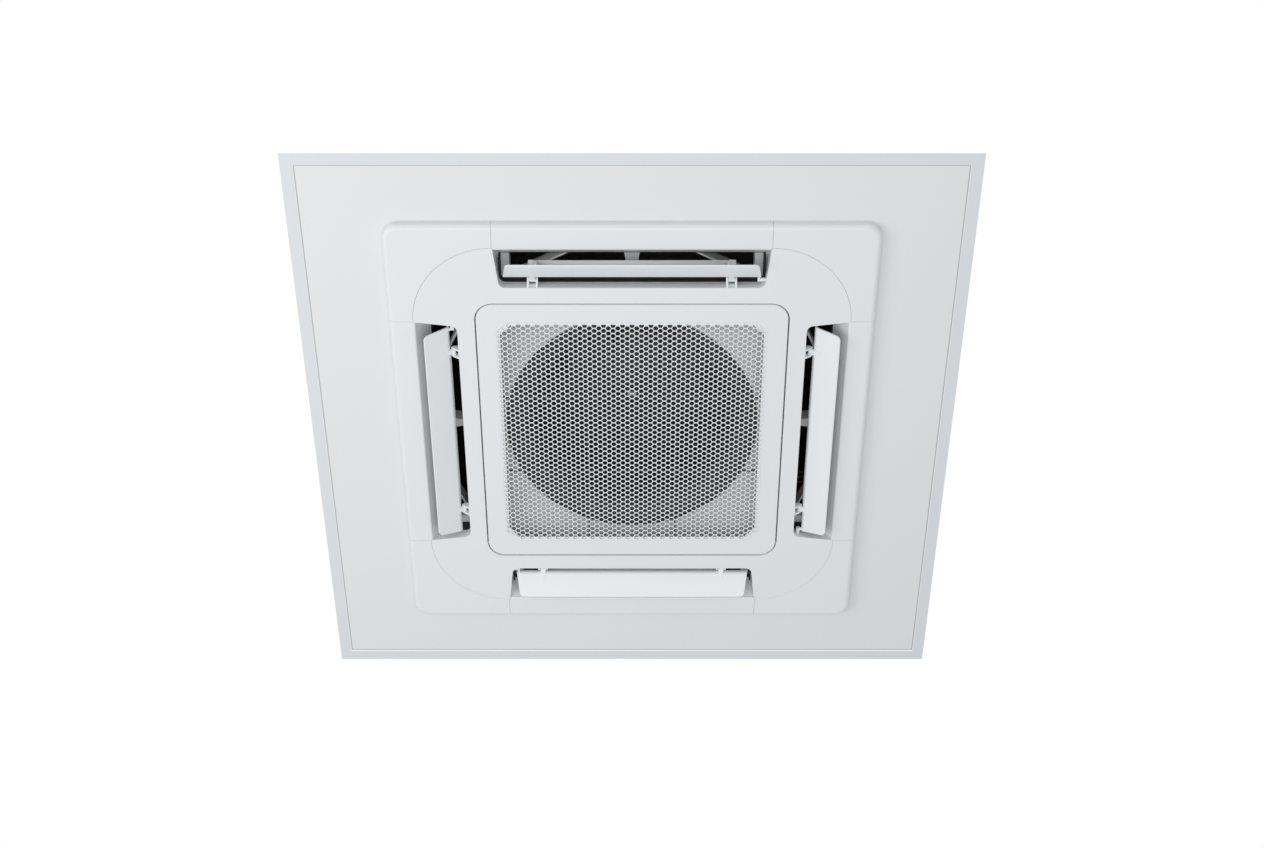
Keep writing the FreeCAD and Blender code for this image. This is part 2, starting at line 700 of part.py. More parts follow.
def panel_blank(inset):
    """The whole panel's outer form with its rounded edge, moved inwards by an inset."""
    levels = []
    for half, z in edge_line(inset):
        corner = half - PANEL_HALF + PANEL_CORNER
        levels.append([Vector(x, y, z) for x, y in soft_square(half, corner)])
    faces = [flat_face(levels[0]), flat_face(levels[-1])]
    for upper, lower in zip(levels, levels[1:]):
        for index in range(len(upper)):
            before = index - 1
            faces.append(flat_face([upper[before], upper[index], lower[index], lower[before]]))
    return closed_solid(faces)


def corner_cover():
    """The removable cover at the front right corner, outside the lobe's curved seam."""
    edge = TRIM_HALF + SEAM / 2
    wall = edge + SKIN
    lobe = GUIDE_START + SEAM / 2
    lobe_corner = LOBE_RADIUS + SEAM / 2
    cover = panel_blank(0.0).common(outlet_box(edge, THROUGH, edge, THROUGH, FACE_Z, 0.0))
    cover = cover.cut(rounded_square(lobe, lobe_corner, FACE_Z - CUT, CUT))
    blank = panel_blank(SKIN)
    hollow = blank.common(outlet_box(wall, THROUGH, wall, THROUGH, FACE_Z, 0.0))
    hollow = hollow.cut(rounded_square(lobe + SKIN, lobe_corner + SKIN, FACE_Z, CUT))
    flange_room = outlet_box(edge - CUT, PANEL_HALF - SKIN, edge - CUT, PANEL_HALF - SKIN, FLANGE_LOW, 0.0)
    cover = cover.cut(hollow).cut(flange_room.common(blank))
    rib_low = GUIDE_START + SKIN + COVER_RIB_AT
    rib = outlet_box(wall - RIB, wall + COVER_RIB_LENGTH, rib_low, rib_low + RIB, SKIN_TOP - RIB, FLANGE_LOW)
    other = rib.mirror(ORIGIN, Vector(1, 1, 0))
    return joined([cover, rib, other])


def panel_seals():
    """Foam strips between the drain pan and the walls of the inlet and the trims."""
    end = outlet_end(OUTLET_INNER)
    flat = OPENING_HALF - OPENING_CORNER
    strips = [
        outlet_box(-end, end, PAN_SLOT_OUTER, GUIDE_TOP + SKIN, DUCT_TOP, CASING_LOW),
        outlet_box(-flat, flat, OPENING_HALF, OPENING_HALF + 2 * SKIN, DUCT_TOP, CASING_LOW),
    ]
    return group([turned(strip, angle) for strip in strips for angle in SIDES.values()])


def panel_screws():
    """The four screws that hold the panel up, under the corner covers."""
    at = Vector(PANEL_SCREW_AT, -PANEL_SCREW_AT, FLANGE_LOW)
    shank = small_rod(SCREW_RADIUS, at, at + UP * (CASING_LOW - FLANGE_LOW))
    head = small_rod(SCREW_HEAD_RADIUS, at - UP * SCREW_HEAD_HEIGHT, at)
    return group(four_turns(shank.fuse(head)))


def panel_spacers():
    """The sleeves on the panel screws that set the panel's height under its brackets."""
    low = Vector(PANEL_SCREW_AT, -PANEL_SCREW_AT, FLANGE_TOP)
    high = low + UP * (DUCT_TOP - FLANGE_TOP)
    sleeve = small_rod(SPACER_RADIUS, low, high).cut(small_bore(SCREW_RADIUS + SLIDE_FIT, low, high))
    return group(four_turns(sleeve))


def panel_brackets():
    """Steel tabs at the casing's lower corners that take the panel screws."""
    reach = PANEL_SCREW_AT * math.sqrt(2.0)
    half = PANEL_BRACKET_WIDTH / 2
    tab = box(CHAMFER_REACH - CASING_LIP, reach + half, -half, half, DUCT_TOP, CASING_LOW)
    tab = tab.cut(small_bore(SCREW_RADIUS + RUNNING_FIT, Vector(reach, 0, DUCT_TOP), Vector(reach, 0, CASING_LOW)))
    return group(four_turns(turned(tab, 45.0)))


# The flaps

def flap_outline(points):
    """Turns points of the level flap's section, u out from its axis and w above it, into (r, z) points."""
    return [(FLAP_AXIS_R + u, FLAP_AXIS_Z + w) for u, w in points]


def flap_blade():
    """The main blade, straight at its tip and curled up at its root, with rounded tip corners."""
    middle = (FLAP_CURL_START, FLAP_CURL_RADIUS)
    curl = chords(middle, FLAP_CURL_RADIUS - FLAP_THICK, 270.0, 180.0, CURL_CHORDS)
    curl += chords(middle, FLAP_CURL_RADIUS, 180.0, 270.0, CURL_CHORDS)
    tip = [
        (FLAP_REACH - FLAP_BEVEL, 0.0), (FLAP_REACH, FLAP_BEVEL),
        (FLAP_REACH, FLAP_THICK - FLAP_BEVEL), (FLAP_REACH - FLAP_BEVEL, FLAP_THICK),
    ]
    blade = along_outlet(flap_outline(tip + curl), -FLAP_ROOT_HALF, FLAP_ROOT_HALF)
    tip_r = FLAP_AXIS_R + FLAP_REACH
    corner = (FLAP_TIP_HALF - FLAP_TIP_CORNER, FLAP_TIP_CORNER - tip_r)
    plan = [(FLAP_ROOT_HALF, -FLAP_AXIS_R)] + chords(corner, FLAP_TIP_CORNER, 0.0, -90.0, CURL_CHORDS)
    return blade.common(prism(both_halves(plan), FLAP_AXIS_Z - CUT, FLAP_AXIS_Z + FLAP_CURL_RADIUS + CUT))


def flap_fairing():
    """The tapered rib from a knuckle on to the blade's lower face."""
    wires = []
    ends = (
        (FAIRING_START, KNUCKLE_LENGTH / 2, -FAIRING_DROP),
        (FAIRING_LENGTH, FAIRING_TIP_HALF, FAIRING_TIP_RISE),
    )
    for u, half, low in ends:
        (r, z_low), (r, z_high) = flap_outline([(u, low), (u, FLAP_THICK - FAIRING_SINK)])
        corners = [
            Vector(-half, -r, z_low), Vector(half, -r, z_low), Vector(half, -r, z_high), Vector(-half, -r, z_high),
        ]
        wires.append(Part.makePolygon(corners + corners[:1]))
    return Part.makeLoft(wires, True, True)


def flap_knuckle():
    """The knuckle and its two pins, about the flap's axis."""
    pin = Vector(KNUCKLE_LENGTH / 2 + CLIP_GAP + CLIP_WALL, 0, 0)
    barrel = Vector(KNUCKLE_LENGTH / 2, 0, 0)
    axis = Vector(0, -FLAP_AXIS_R, FLAP_AXIS_Z)
    return joined([
        small_rod(KNUCKLE_RADIUS, axis - barrel, axis + barrel),
        small_rod(FLAP_PIN_RADIUS, axis - pin, axis + pin),
        flap_fairing(),
    ])


def flap():
    """The front flap, level: blade, inner vane on two arms, knuckles and the drive pin at its right end."""
    vane_high = VANE_LIFT + VANE_RISE
    vane = along_outlet(flap_outline([
        (VANE_INNER, VANE_LIFT), (VANE_OUTER, vane_high),
        (VANE_OUTER, vane_high + VANE_THICK), (VANE_INNER, VANE_LIFT + VANE_THICK),
    ]), -VANE_HALF, VANE_HALF)
    arm_outline = flap_outline([
        (FLAP_CURL_START, FLAP_THICK / 2), (FLAP_REACH - ARM_SETBACK, FLAP_THICK / 2),
        (FLAP_REACH - ARM_SETBACK - ARM_THICK, ARM_SHOULDER), (VANE_OUTER, vane_high + VANE_THICK),
        (VANE_INNER, VANE_LIFT + VANE_THICK), (VANE_INNER, VANE_LIFT),
    ])
    end_arm = along_outlet(flap_outline([
        (0.0, END_ARM_BEVEL - KNUCKLE_RADIUS), (FLAP_CURL_START, FAIRING_SINK),
        (FLAP_CURL_START, FLAP_THICK - FAIRING_SINK), (0.0, KNUCKLE_RADIUS - END_ARM_BEVEL),
    ]), FLAP_ROOT_HALF - 2 * ARM_THICK, FLAP_ROOT_HALF - ARM_THICK)
    drive_start = Vector(FLAP_ROOT_HALF - 2 * ARM_THICK, -FLAP_AXIS_R, FLAP_AXIS_Z)
    drive_end = Vector(outlet_end(FLAP_AXIS_R) + MOTOR_BOSS + SWING_MOTOR_LENGTH / 2, -FLAP_AXIS_R, FLAP_AXIS_Z)
    pieces = [flap_blade(), vane, end_arm, rod(DRIVE_PIN_RADIUS, drive_start, drive_end)]
    for side in (-1.0, 1.0):
        middle = side * VANE_HALF
        knuckle = flap_knuckle()
        knuckle.translate(Vector(side * KNUCKLE_AT, 0, 0))
        pieces += [along_outlet(arm_outline, middle - ARM_THICK / 2, middle + ARM_THICK / 2), knuckle]
    return joined(pieces)


def swung(shape, angle):
    """A copy of the front flap with its outer edge swung down."""
    copy = shape.copy()
    copy.rotate(Vector(0, -FLAP_AXIS_R, FLAP_AXIS_Z), Vector(1, 0, 0), angle)
    return copy


def flap_clip():
    """One forked clip on the outlet's inner wall that holds a flap's knuckle."""
    start = KNUCKLE_LENGTH / 2 + CLIP_GAP
    end = start + CLIP_WALL
    low = FLAP_AXIS_Z - CLIP_RADIUS
    high = FLAP_AXIS_Z + CLIP_RADIUS
    outline = [
        (OUTLET_INNER, FACE_Z + CLIP_SETBACK), (FLAP_AXIS_R, low), (FLAP_AXIS_R + CLIP_RADIUS, FLAP_AXIS_Z),
        (FLAP_AXIS_R, high), (OUTLET_INNER, high),
    ]
    bore = small_bore(FLAP_PIN_RADIUS + RUNNING_FIT, Vector(start, -FLAP_AXIS_R, FLAP_AXIS_Z),
                      Vector(end, -FLAP_AXIS_R, FLAP_AXIS_Z))
    prong = along_outlet(outline, start, end).cut(bore)
    back = outlet_box(-end, end, OUTLET_INNER, OUTLET_INNER + CLIP_BACK, low, high)
    return joined([prong, mirrored_x(prong), back])


def flap_clips():
    """All eight clips."""
    clips = []
    for side in (-1.0, 1.0):
        clip = flap_clip()
        clip.translate(Vector(side * KNUCKLE_AT, 0, 0))
        clips += four_turns(clip)
    return group(clips)


def swing_motors():
    """The stepper motor at the right end of each flap, seated on the outlet's end wall."""
    face = outlet_end(FLAP_AXIS_R) + MOTOR_BOSS
    start = Vector(face, -FLAP_AXIS_R, FLAP_AXIS_Z)
    top = FLAP_AXIS_Z + SWING_MOTOR_RADIUS
    body = small_rod(SWING_MOTOR_RADIUS, start, start + Vector(SWING_MOTOR_LENGTH, 0, 0))
    plug = outlet_box(face + PLUG_INSET, face + SWING_MOTOR_LENGTH - PLUG_INSET, FLAP_AXIS_R - PLUG_HALF,
                      FLAP_AXIS_R + PLUG_HALF, top - PLUG_SINK, top + PLUG_RISE)
    socket_end = start + Vector(SWING_MOTOR_LENGTH / 2 + SOCKET_ROOM, 0, 0)
    socket = small_bore(DRIVE_PIN_RADIUS + RUNNING_FIT, start, socket_end)
    return group(four_turns(body.fuse(plug).cut(socket)))


# The suction grille

def window(half, z_low, z_high):
    """The grille's window, a square with cut corners."""
    flat = half - WINDOW_CORNER
    return prism(both_halves([(flat, -half), (half, -flat), (half, flat), (flat, half)]), z_low, z_high)


def hinge_pin():
    """The pin on the grille's right side that turns in the inlet frame's boss."""
    start = Vector(GRILLE_HALF - GRILLE_FACE, HINGE_Y, HINGE_Z)
    return rod(HINGE_PIN_RADIUS, start, Vector(OPENING_HALF + HINGE_BOSS_LENGTH, HINGE_Y, HINGE_Z))


def latch_guides(x):
    """Two rails that guide a latch."""
    inner = LATCH_WIDTH / 2 + SLIDE_FIT
    low = GRILLE_FACE_TOP - RIB / 2
    high = SKIRT_TOP - LATCH_RAIL
    back = FILTER_HALF + LATCH_BACK
    front = GRILLE_HALF - LATCH_RAIL
    return [
        outlet_box(x + inner, x + inner + LATCH_RAIL, back, front, low, high),
        outlet_box(x - inner - LATCH_RAIL, x - inner, back, front, low, high),
    ]


def grille_frame():
    """The grille's border with its skirt, sheet ledge, hinge pins and latch guides."""
    plate = rounded_square(GRILLE_HALF, GRILLE_CORNER, FACE_Z, SKIRT_TOP)
    low_edges = [
        edge for edge in plate.Edges if all(abs(vertex.Z - FACE_Z) < SEAM for vertex in edge.Vertexes)
    ]
    plate = plate.makeChamfer(GRILLE_EDGE_BEVEL, low_edges)
    inner = GRILLE_HALF - GRILLE_FACE
    plate = plate.cut(prism(soft_square(inner, GRILLE_CORNER - GRILLE_FACE), GRILLE_FACE_TOP, SKIRT_TOP))
    border = window(WINDOW_HALF + LEDGE_WIDTH, FACE_Z + GRILLE_FACE / 2, GRILLE_LEDGE_TOP)
    frame = joined([plate, border])
    frame = frame.cut(window(WINDOW_HALF + SHEET_FIT, FACE_Z - CUT, FACE_Z + SHEET_THICK))
    frame = frame.cut(window(WINDOW_HALF - LEDGE_WIDTH, FACE_Z, SKIRT_TOP))
    slots = [latch_slot(x, inner - CUT, GRILLE_HALF + CUT) for x in (-LATCH_AT, LATCH_AT)]
    frame = frame.cut(Part.makeCompound(slots))
    return joined([frame, hinge_pin(), mirrored_x(hinge_pin())] + latch_guides(LATCH_AT) + latch_guides(-LATCH_AT))


def perforated_sheet():
    """The sheet in the window, with staggered six-sided holes and pointed columns."""
    sheet = window(WINDOW_HALF, FACE_Z, FACE_Z + SHEET_THICK)
    point = HOLE_COLUMN_PITCH * HOLE_POINT
    flat = HOLE_COLUMN_PITCH * HOLE_FLAT
    half_height = HOLE_ROW_PITCH / 2 - HOLE_BAR
    edge = WINDOW_HALF - LEDGE_WIDTH - HOLE_BAR
    columns = int(edge / HOLE_COLUMN_PITCH)
    rows = int(edge / HOLE_ROW_PITCH) + 1
    outline = both_halves([(flat, -half_height), (point, 0.0), (flat, half_height)])
    holes = []
    for column in range(-columns, columns + 1):
        x = column * HOLE_COLUMN_PITCH
        shift = 0.5 * (column % 2)
        for row in range(-rows, rows + 1):
            y = (row + shift) * HOLE_ROW_PITCH
            inside = abs(y) + half_height < edge and abs(x) + point < edge
            corner = abs(x) + abs(y) > 2 * edge - WINDOW_CORNER - HOLE_COLUMN_PITCH / 2 - half_height
            if inside and not corner:
                placed = [(x + dx, y + dy) for dx, dy in outline]
                holes.append(prism(placed, FACE_Z - CUT, FACE_Z + SHEET_THICK + CUT))
    return sheet.cut(Part.makeCompound(holes))


def filter_frame():
    """The air filter's plastic frame with its cross bars."""
    inner = FILTER_HALF - FILTER_BAR
    reach = FILTER_HALF - RIB
    frame = box(-FILTER_HALF, FILTER_HALF, -FILTER_HALF, FILTER_HALF, GRILLE_LEDGE_TOP, FILTER_TOP)
    frame = frame.cut(box(-inner, inner, -inner, inner, GRILLE_LEDGE_TOP, FILTER_TOP))
    bars = []
    for place in (-1.0, 1.0):
        middle = place * inner / 3.0
        low = middle - FILTER_CROSS_BAR / 2
        high = middle + FILTER_CROSS_BAR / 2
        bars.append(box(low, high, -reach, reach, GRILLE_LEDGE_TOP, FILTER_TOP))
        bars.append(box(-reach, reach, low, high, GRILLE_LEDGE_TOP, FILTER_TOP))
    return joined([frame] + bars)


def square_wire(x, y, half):
    """A square outline on the filter frame's top."""
    corners = ((-half, -half), (half, -half), (half, half), (-half, half), (-half, -half))
    return Part.makePolygon([Vector(x + dx, y + dy, FILTER_TOP) for dx, dy in corners])


def filter_net():
    """The net on the filter frame, as one holed face with a little thickness."""
    half = FILTER_HALF - RIB
    step = 2 * (half - NET_THREAD) / NET_GAPS
    wires = [square_wire(0.0, 0.0, half)]
    for column in range(NET_GAPS):
        x = -half + NET_THREAD + step * (column + 0.5)
        for row in range(NET_GAPS):
            y = -half + NET_THREAD + step * (row + 0.5)
            hole = square_wire(x, y, (step - NET_THREAD) / 2)
            hole.reverse()
            wires.append(hole)
    return Part.Face(wires).extrude(Vector(0, 0, NET_THICK))


def grille_latch(x):
    """A sliding latch, drawn back, with its tongue just inside the grille's edge."""
    back = FILTER_HALF + LATCH_BACK + SLIDE_FIT
    front = GRILLE_HALF - GRILLE_FACE - SLIDE_FIT - LATCH_TRAVEL
    block = outlet_box(x - LATCH_WIDTH / 2, x + LATCH_WIDTH / 2, back, front, GRILLE_FACE_TOP + SLIDE_FIT,
                       SKIRT_TOP - LATCH_TOP_ROOM)
    tongue_low = FACE_Z + TONGUE_RISE
    tongue = outlet_box(x - TONGUE_WIDTH / 2, x + TONGUE_WIDTH / 2, front - CUT, GRILLE_HALF - SLIDE_FIT,
                        tongue_low, tongue_low + TONGUE_HEIGHT)
    grip = outlet_box(x - GRIP_HALF, x + GRIP_HALF, back + GRIP_HALF, front - GRIP_HALF,
                      SKIRT_TOP - LATCH_TOP_ROOM - CUT, SKIRT_TOP + GRIP_RISE)
    return joined([block, tongue, grip])


# The casing

def pipe_places():
    """Where the two pipes and the drain leave through the right wall, with their radii."""
    return ((PIPE_Y, GAS_PIPE_Z, GAS_PIPE_RADIUS), (PIPE_Y, LIQUID_PIPE_Z, LIQUID_PIPE_RADIUS),
            (DRAIN_Y, DRAIN_Z, DRAIN_PIPE_RADIUS))


def pipe_holes(x_low, x_high, room):
    """Holes through the right wall for the pipes and the drain."""
    return Part.makeCompound([
        small_bore(radius + room, Vector(x_low, y, z), Vector(x_high, y, z)) for y, z, radius in pipe_places()
    ])


def casing():
    """The sheet-steel sides with the lip that the drain pan rests on."""
    walls = octagon(0.0, CASING_LOW, CASING_TOP).cut(octagon(SHEET_STEEL, CASING_LOW, CASING_TOP))
    lip = octagon(SHEET_STEEL / 2, CASING_LOW, CASING_LOW + SHEET_STEEL).cut(
        octagon(CASING_LIP, CASING_LOW, CASING_LOW + SHEET_STEEL))
    return joined([walls, lip]).cut(pipe_holes(CASING_HALF - SHEET_STEEL - CUT, CASING_HALF + CUT, HOLE_ROOM))


def top_plate():
    """The roof sheet with a pressed pad over the motor and four pressed ribs that stiffen it."""
    plate = octagon(0.0, CASING_TOP, CASING_TOP + SHEET_STEEL)
    low = CASING_TOP + SHEET_STEEL / 2
    high = CASING_TOP + SHEET_STEEL + PRESSING
    pad = small_rod(MOTOR_FLANGE_RADIUS, Vector(0, 0, low), Vector(0, 0, high))
    rib = box(0.0, CHAMFER_REACH - 2 * CASING_LIP, -PRESSED_RIB / 2, PRESSED_RIB / 2, low, high)
    return joined([plate, pad] + four_turns(turned(rib, 45.0)))


def insulation_liner():
    """The foam lining inside the casing's sides and roof."""
    low = CASING_LOW + SHEET_STEEL
    block = octagon(SHEET_STEEL, low, CASING_TOP)
    block = block.cut(octagon(SHEET_STEEL + LINER_THICK, low, LINER_ROOF))
    holes = [
        small_bore(MOTOR_MOUNT_RADIUS + HOLE_ROOM, Vector(x, y, LINER_ROOF), Vector(x, y, CASING_TOP))
        for x, y in motor_mount_places()
    ]
    wall = CASING_HALF - SHEET_STEEL - LINER_THICK
    return block.cut(Part.makeCompound(holes)).cut(pipe_holes(wall - CUT, CASING_HALF, HOLE_ROOM))


def hanger_bracket():
    """The bracket at the back right corner: a leg on the casing and a shelf with the bolt slot."""
    bolt = Vector(CASING_HALF - HANGER_INSET_X, CASING_HALF - HANGER_INSET_Y, HANGER_ABOVE_CEILING)
    middle = FreeCAD.Rotation(UP, -45.0).multVec(bolt).y
    low = middle - HANGER_WIDTH / 2
    high = middle + HANGER_WIDTH / 2
    top = HANGER_ABOVE_CEILING
    shelf = box(CHAMFER_REACH, CHAMFER_REACH + HANGER_REACH, low, high, top - HANGER_PLATE, top)
    leg = box(CHAMFER_REACH, CHAMFER_REACH + HANGER_PLATE, low, high, top - HANGER_DROP, top)
    bracket = turned(joined([shelf, leg]), 45.0)
    radius = HANGER_SLOT_WIDTH / 2
    run = (HANGER_SLOT_LENGTH - HANGER_SLOT_WIDTH) / 2
    floor = bolt - UP * (HANGER_PLATE + CUT)
    right = floor + Vector(run, 0, 0)
    left = floor - Vector(run, 0, 0)
    across = Vector(0, radius, 0)
    along = Vector(radius, 0, 0)
    outline = Part.Wire([
        Part.LineSegment(left - across, right - across).toShape(),
        Part.Arc(right - across, right + along, right + across).toShape(),
        Part.LineSegment(right + across, left + across).toShape(),
        Part.Arc(left + across, left - along, left - across).toShape(),
    ])
    return bracket.cut(Part.Face(outline).extrude(UP * (HANGER_PLATE + 2 * CUT)))


def hanger_brackets():
    """All four hanger brackets."""
    right = hanger_bracket()
    front = right.mirror(ORIGIN, Vector(0, 1, 0))
    return group([right, front, mirrored_x(right), mirrored_x(front)])


def casing_screws():
    """The screws round the roof sheet."""
    at = Vector(CASING_HALF - CASING_SCREW_INSET, 0, CASING_TOP + SHEET_STEEL)
    heads = []
    for y in (-CASING_HALF / 2, CASING_HALF / 2):
        seat = at + Vector(0, y, 0)
        heads += four_turns(small_rod(CASING_SCREW_RADIUS, seat, seat + UP * CASING_SCREW_HEIGHT))
    return group(heads)


# Inside the casing

def drain_pan():
    """The moulded pan: water channel under the coil, opening for the bell mouth and four ducts."""
    foot = octagon(CASING_LIP + LINER_FIT, CASING_LOW, CASING_LOW + SHEET_STEEL + CUT)
    block = octagon(SHEET_STEEL + LINER_THICK + LINER_FIT, CASING_LOW + SHEET_STEEL, PAN_TOP)
    low = CASING_LOW - CUT
    high = PAN_TOP + CUT
    mouth = small_bore(PAN_OPENING_RADIUS, Vector(0, 0, low), Vector(0, 0, high), LATHE_SIDES)
    channel = soft_ring(COIL_OUTER + CHANNEL_ROOM, COIL_CORNER + CHANNEL_ROOM, COIL_INNER - CHANNEL_ROOM,
                        COIL_CORNER - COIL_DEPTH, PAN_CHANNEL_FLOOR, high)
    end = PAN_SLOT_HALF + DUCT_WALL
    slot = outlet_box(-end, end, OUTLET_INNER - DUCT_WALL, PAN_SLOT_OUTER + DUCT_WALL, low, high)
    return joined([foot, block]).cut(Part.makeCompound([mouth, channel] + four_turns(slot)))


def outlet_liner():
    """The dark sleeve in the front duct, from the panel's outlet wall up through the drain pan."""
    end = PAN_SLOT_HALF + DUCT_WALL
    outer = PAN_SLOT_OUTER + DUCT_WALL
    sleeve = outlet_box(-end, end, OUTLET_INNER - DUCT_WALL, outer, LIP_TOP, PAN_TOP)
    air = outlet_box(-PAN_SLOT_HALF, PAN_SLOT_HALF, OUTLET_INNER, PAN_SLOT_OUTER, LIP_TOP, PAN_TOP)
    guide_room = outlet_box(-end, end, GUIDE_TOP - GUIDE_ROOM, outer, LIP_TOP, CASING_LOW)
    return sleeve.cut(air).cut(guide_room)


def outlet_ribs():
    """The ribs that brace each duct: a wedge in its middle, and a slanted rib and a block at each end."""
    half = SLANT_RIB / 2
    outer_at = PAN_SLOT_HALF - SLANT_OUTER_INSET
    inner_at = PAN_SLOT_HALF - SLANT_INNER_INSET
    wedge = prism(both_halves([(WEDGE_OUTER / 2, -PAN_SLOT_OUTER), (WEDGE_INNER / 2, -OUTLET_INNER)]),
                  DUCT_RIB_LOW, DUCT_RIB_HIGH)
    slanted = prism([
        (outer_at - half, -PAN_SLOT_OUTER), (outer_at + half, -PAN_SLOT_OUTER),
        (inner_at + half, -OUTLET_INNER), (inner_at - half, -OUTLET_INNER),
    ], DUCT_RIB_LOW, DUCT_RIB_HIGH)
    block = outlet_box(PAN_SLOT_HALF - END_BLOCK, PAN_SLOT_HALF, OUTLET_INNER, PAN_SLOT_OUTER,
                       DUCT_RIB_LOW, DUCT_RIB_HIGH)
    ribs = [wedge, slanted, mirrored_x(slanted), block, mirrored_x(block)]
    return group([turned(rib, angle) for rib in ribs for angle in SIDES.values()])


def bell_mouth():
    """The flared inlet ring under the fan, a quarter round in a few cones."""
    middle = (BELL_LIP_RADIUS, BELL_LOW + BELL_CURVE)
    air_side = chords(middle, BELL_CURVE, 270.0, 180.0, BELL_CONES)
    back_side = chords(middle, BELL_CURVE - BELL_WALL, 180.0, 270.0, BELL_CONES)
    rim = BELL_LIP_RADIUS + BELL_FLANGE
    throat = [(BELL_THROAT_RADIUS, BELL_TOP), (BELL_THROAT_RADIUS + BELL_WALL, BELL_TOP)]
    return lathe([(rim, BELL_LOW)] + air_side + throat + back_side + [(rim, CASING_LOW)])


def coil_fins():
    """The finned block bent round the fan, open at the back right corner."""
    block = soft_ring(COIL_OUTER, COIL_CORNER, COIL_INNER, COIL_CORNER - COIL_DEPTH, PAN_CHANNEL_FLOOR, LINER_ROOF)
    return block.cut(box(COIL_END, THROUGH, COIL_END, THROUGH, 0.0, THROUGH))


def coil_end_plates():
    """The tube plates on the coil's two ends."""
    right = box(COIL_INNER, COIL_OUTER, COIL_END, COIL_END + COIL_PLATE, PAN_CHANNEL_FLOOR, LINER_ROOF)
    back = box(COIL_END, COIL_END + COIL_PLATE, COIL_INNER, COIL_OUTER, PAN_CHANNEL_FLOOR, LINER_ROOF)
    return group([right, back])


def return_bend(z):
    """One return bend on the coil's right end, from one tube up to the next, with mitred corners."""
    x_low = COIL_OUTER - COIL_DEPTH / 4 - TUBE_RADIUS
    near = COIL_END + COIL_PLATE
    far = near + TUBE_BEND_REACH
    inner = TUBE_BEND_RADIUS - TUBE_RADIUS
    outer = TUBE_BEND_RADIUS + TUBE_RADIUS
    mitre = TUBE_RADIUS
    line = [
        (near, -outer), (far - 2 * mitre, -outer), (far, -outer + 2 * mitre), (far, outer - 2 * mitre),
        (far - 2 * mitre, outer), (near, outer), (near, inner), (far - 3 * mitre, inner),
        (far - 2 * mitre, inner - mitre), (far - 2 * mitre, mitre - inner), (far - 3 * mitre, -inner), (near, -inner),
    ]
    return flat_face([Vector(x_low, y, z + rise) for y, rise in line]).extrude(Vector(2 * TUBE_RADIUS, 0, 0))


def coil_tubes():
    """The return bends on the coil's two ends."""
    bends = []
    for row in range(TUBE_ROWS):
        bend = return_bend(PAN_CHANNEL_FLOOR + TUBE_FIRST + TUBE_STEP * row)
        bends += [bend, bend.mirror(ORIGIN, Vector(1, -1, 0))]
    return group(bends)


def through(first, middle, last, share):
    """The value at a share of the way along a smooth curve through three values."""
    swell = 4.0 * middle - 2.0 * (first + last)
    return first + (last - first) * share + swell * share * (1.0 - share)


def fan_blade():
    """One backward-curved blade, thickest in its middle."""
    middle_radius = (BLADE_INNER_RADIUS + FAN_RADIUS) / 2 + BLADE_BOW
    front = []
    back = []
    for step in range(BLADE_CHORDS + 1):
        share = step / BLADE_CHORDS
        radius = through(BLADE_INNER_RADIUS, middle_radius, FAN_RADIUS - FAN_WALL, share)
        angle = math.radians(through(0.0, -BLADE_SWEEP * BLADE_BOW_SHARE, -BLADE_SWEEP, share))
        across = through(BLADE_ROOT_THICK, BLADE_MIDDLE_THICK, FAN_WALL, share) / FAN_RADIUS
        front.append((radius * math.cos(angle), radius * math.sin(angle)))
        back.append((radius * math.cos(angle + across), radius * math.sin(angle + across)))
    return prism(front + back[::-1], BLADE_LOW, FAN_PLATE_Z)


def shaft_bore(z_low, z_high):
    """The hole for the motor's shaft."""
    return small_bore(SHAFT_RADIUS + RUNNING_FIT, Vector(0, 0, z_low), Vector(0, 0, z_high))


def fan_hub():
    """The fan's back plate with the dome that covers the motor."""
    plate_top = FAN_PLATE_Z + FAN_WALL
    hub = lathe([
        (0.0, FAN_BOSS_LOW), (FAN_BOSS_RADIUS, FAN_BOSS_LOW), (FAN_BOSS_RADIUS, DOME_TOP),
        (DOME_FOOT_RADIUS, FAN_PLATE_Z), (FAN_RADIUS, FAN_PLATE_Z), (FAN_RADIUS, plate_top),
        (DOME_FOOT_RADIUS, plate_top), (FAN_BOSS_RADIUS, DOME_TOP + FAN_WALL), (0.0, DOME_TOP + FAN_WALL),
    ])
    return hub.cut(shaft_bore(FAN_BOSS_LOW - CUT, DOME_TOP + FAN_WALL + CUT))


def fan_ring():
    """The inlet ring on the blades' lower edges."""
    return lathe([
        (FAN_EYE_RADIUS, FAN_LOW), (FAN_EYE_RADIUS + FAN_WALL, FAN_LOW),
        (FAN_RADIUS, FAN_RING_Z - FAN_WALL), (FAN_RADIUS, FAN_RING_Z),
    ])


def fan_blades():
    """The blades, each cut to lie on the inlet ring."""
    under_ring = lathe([
        (FAN_EYE_RADIUS, FAN_LOW), (FAN_RADIUS, FAN_RING_Z), (FAN_RADIUS + FAN_WALL, FAN_RING_Z),
        (FAN_RADIUS + FAN_WALL, FAN_LOW - FAN_WALL), (FAN_EYE_RADIUS, FAN_LOW - FAN_WALL),
    ])
    blade = fan_blade()
    return group([turned(blade, 360.0 / FAN_BLADES * step).cut(under_ring) for step in range(FAN_BLADES)])


def motor_shaft():
    """The motor's shaft, which carries the fan."""
    high = MOTOR_FLANGE_Z - MOTOR_BORE_END - SHAFT_END_GAP
    return rod(SHAFT_RADIUS, Vector(0, 0, SHAFT_LOW), Vector(0, 0, high))


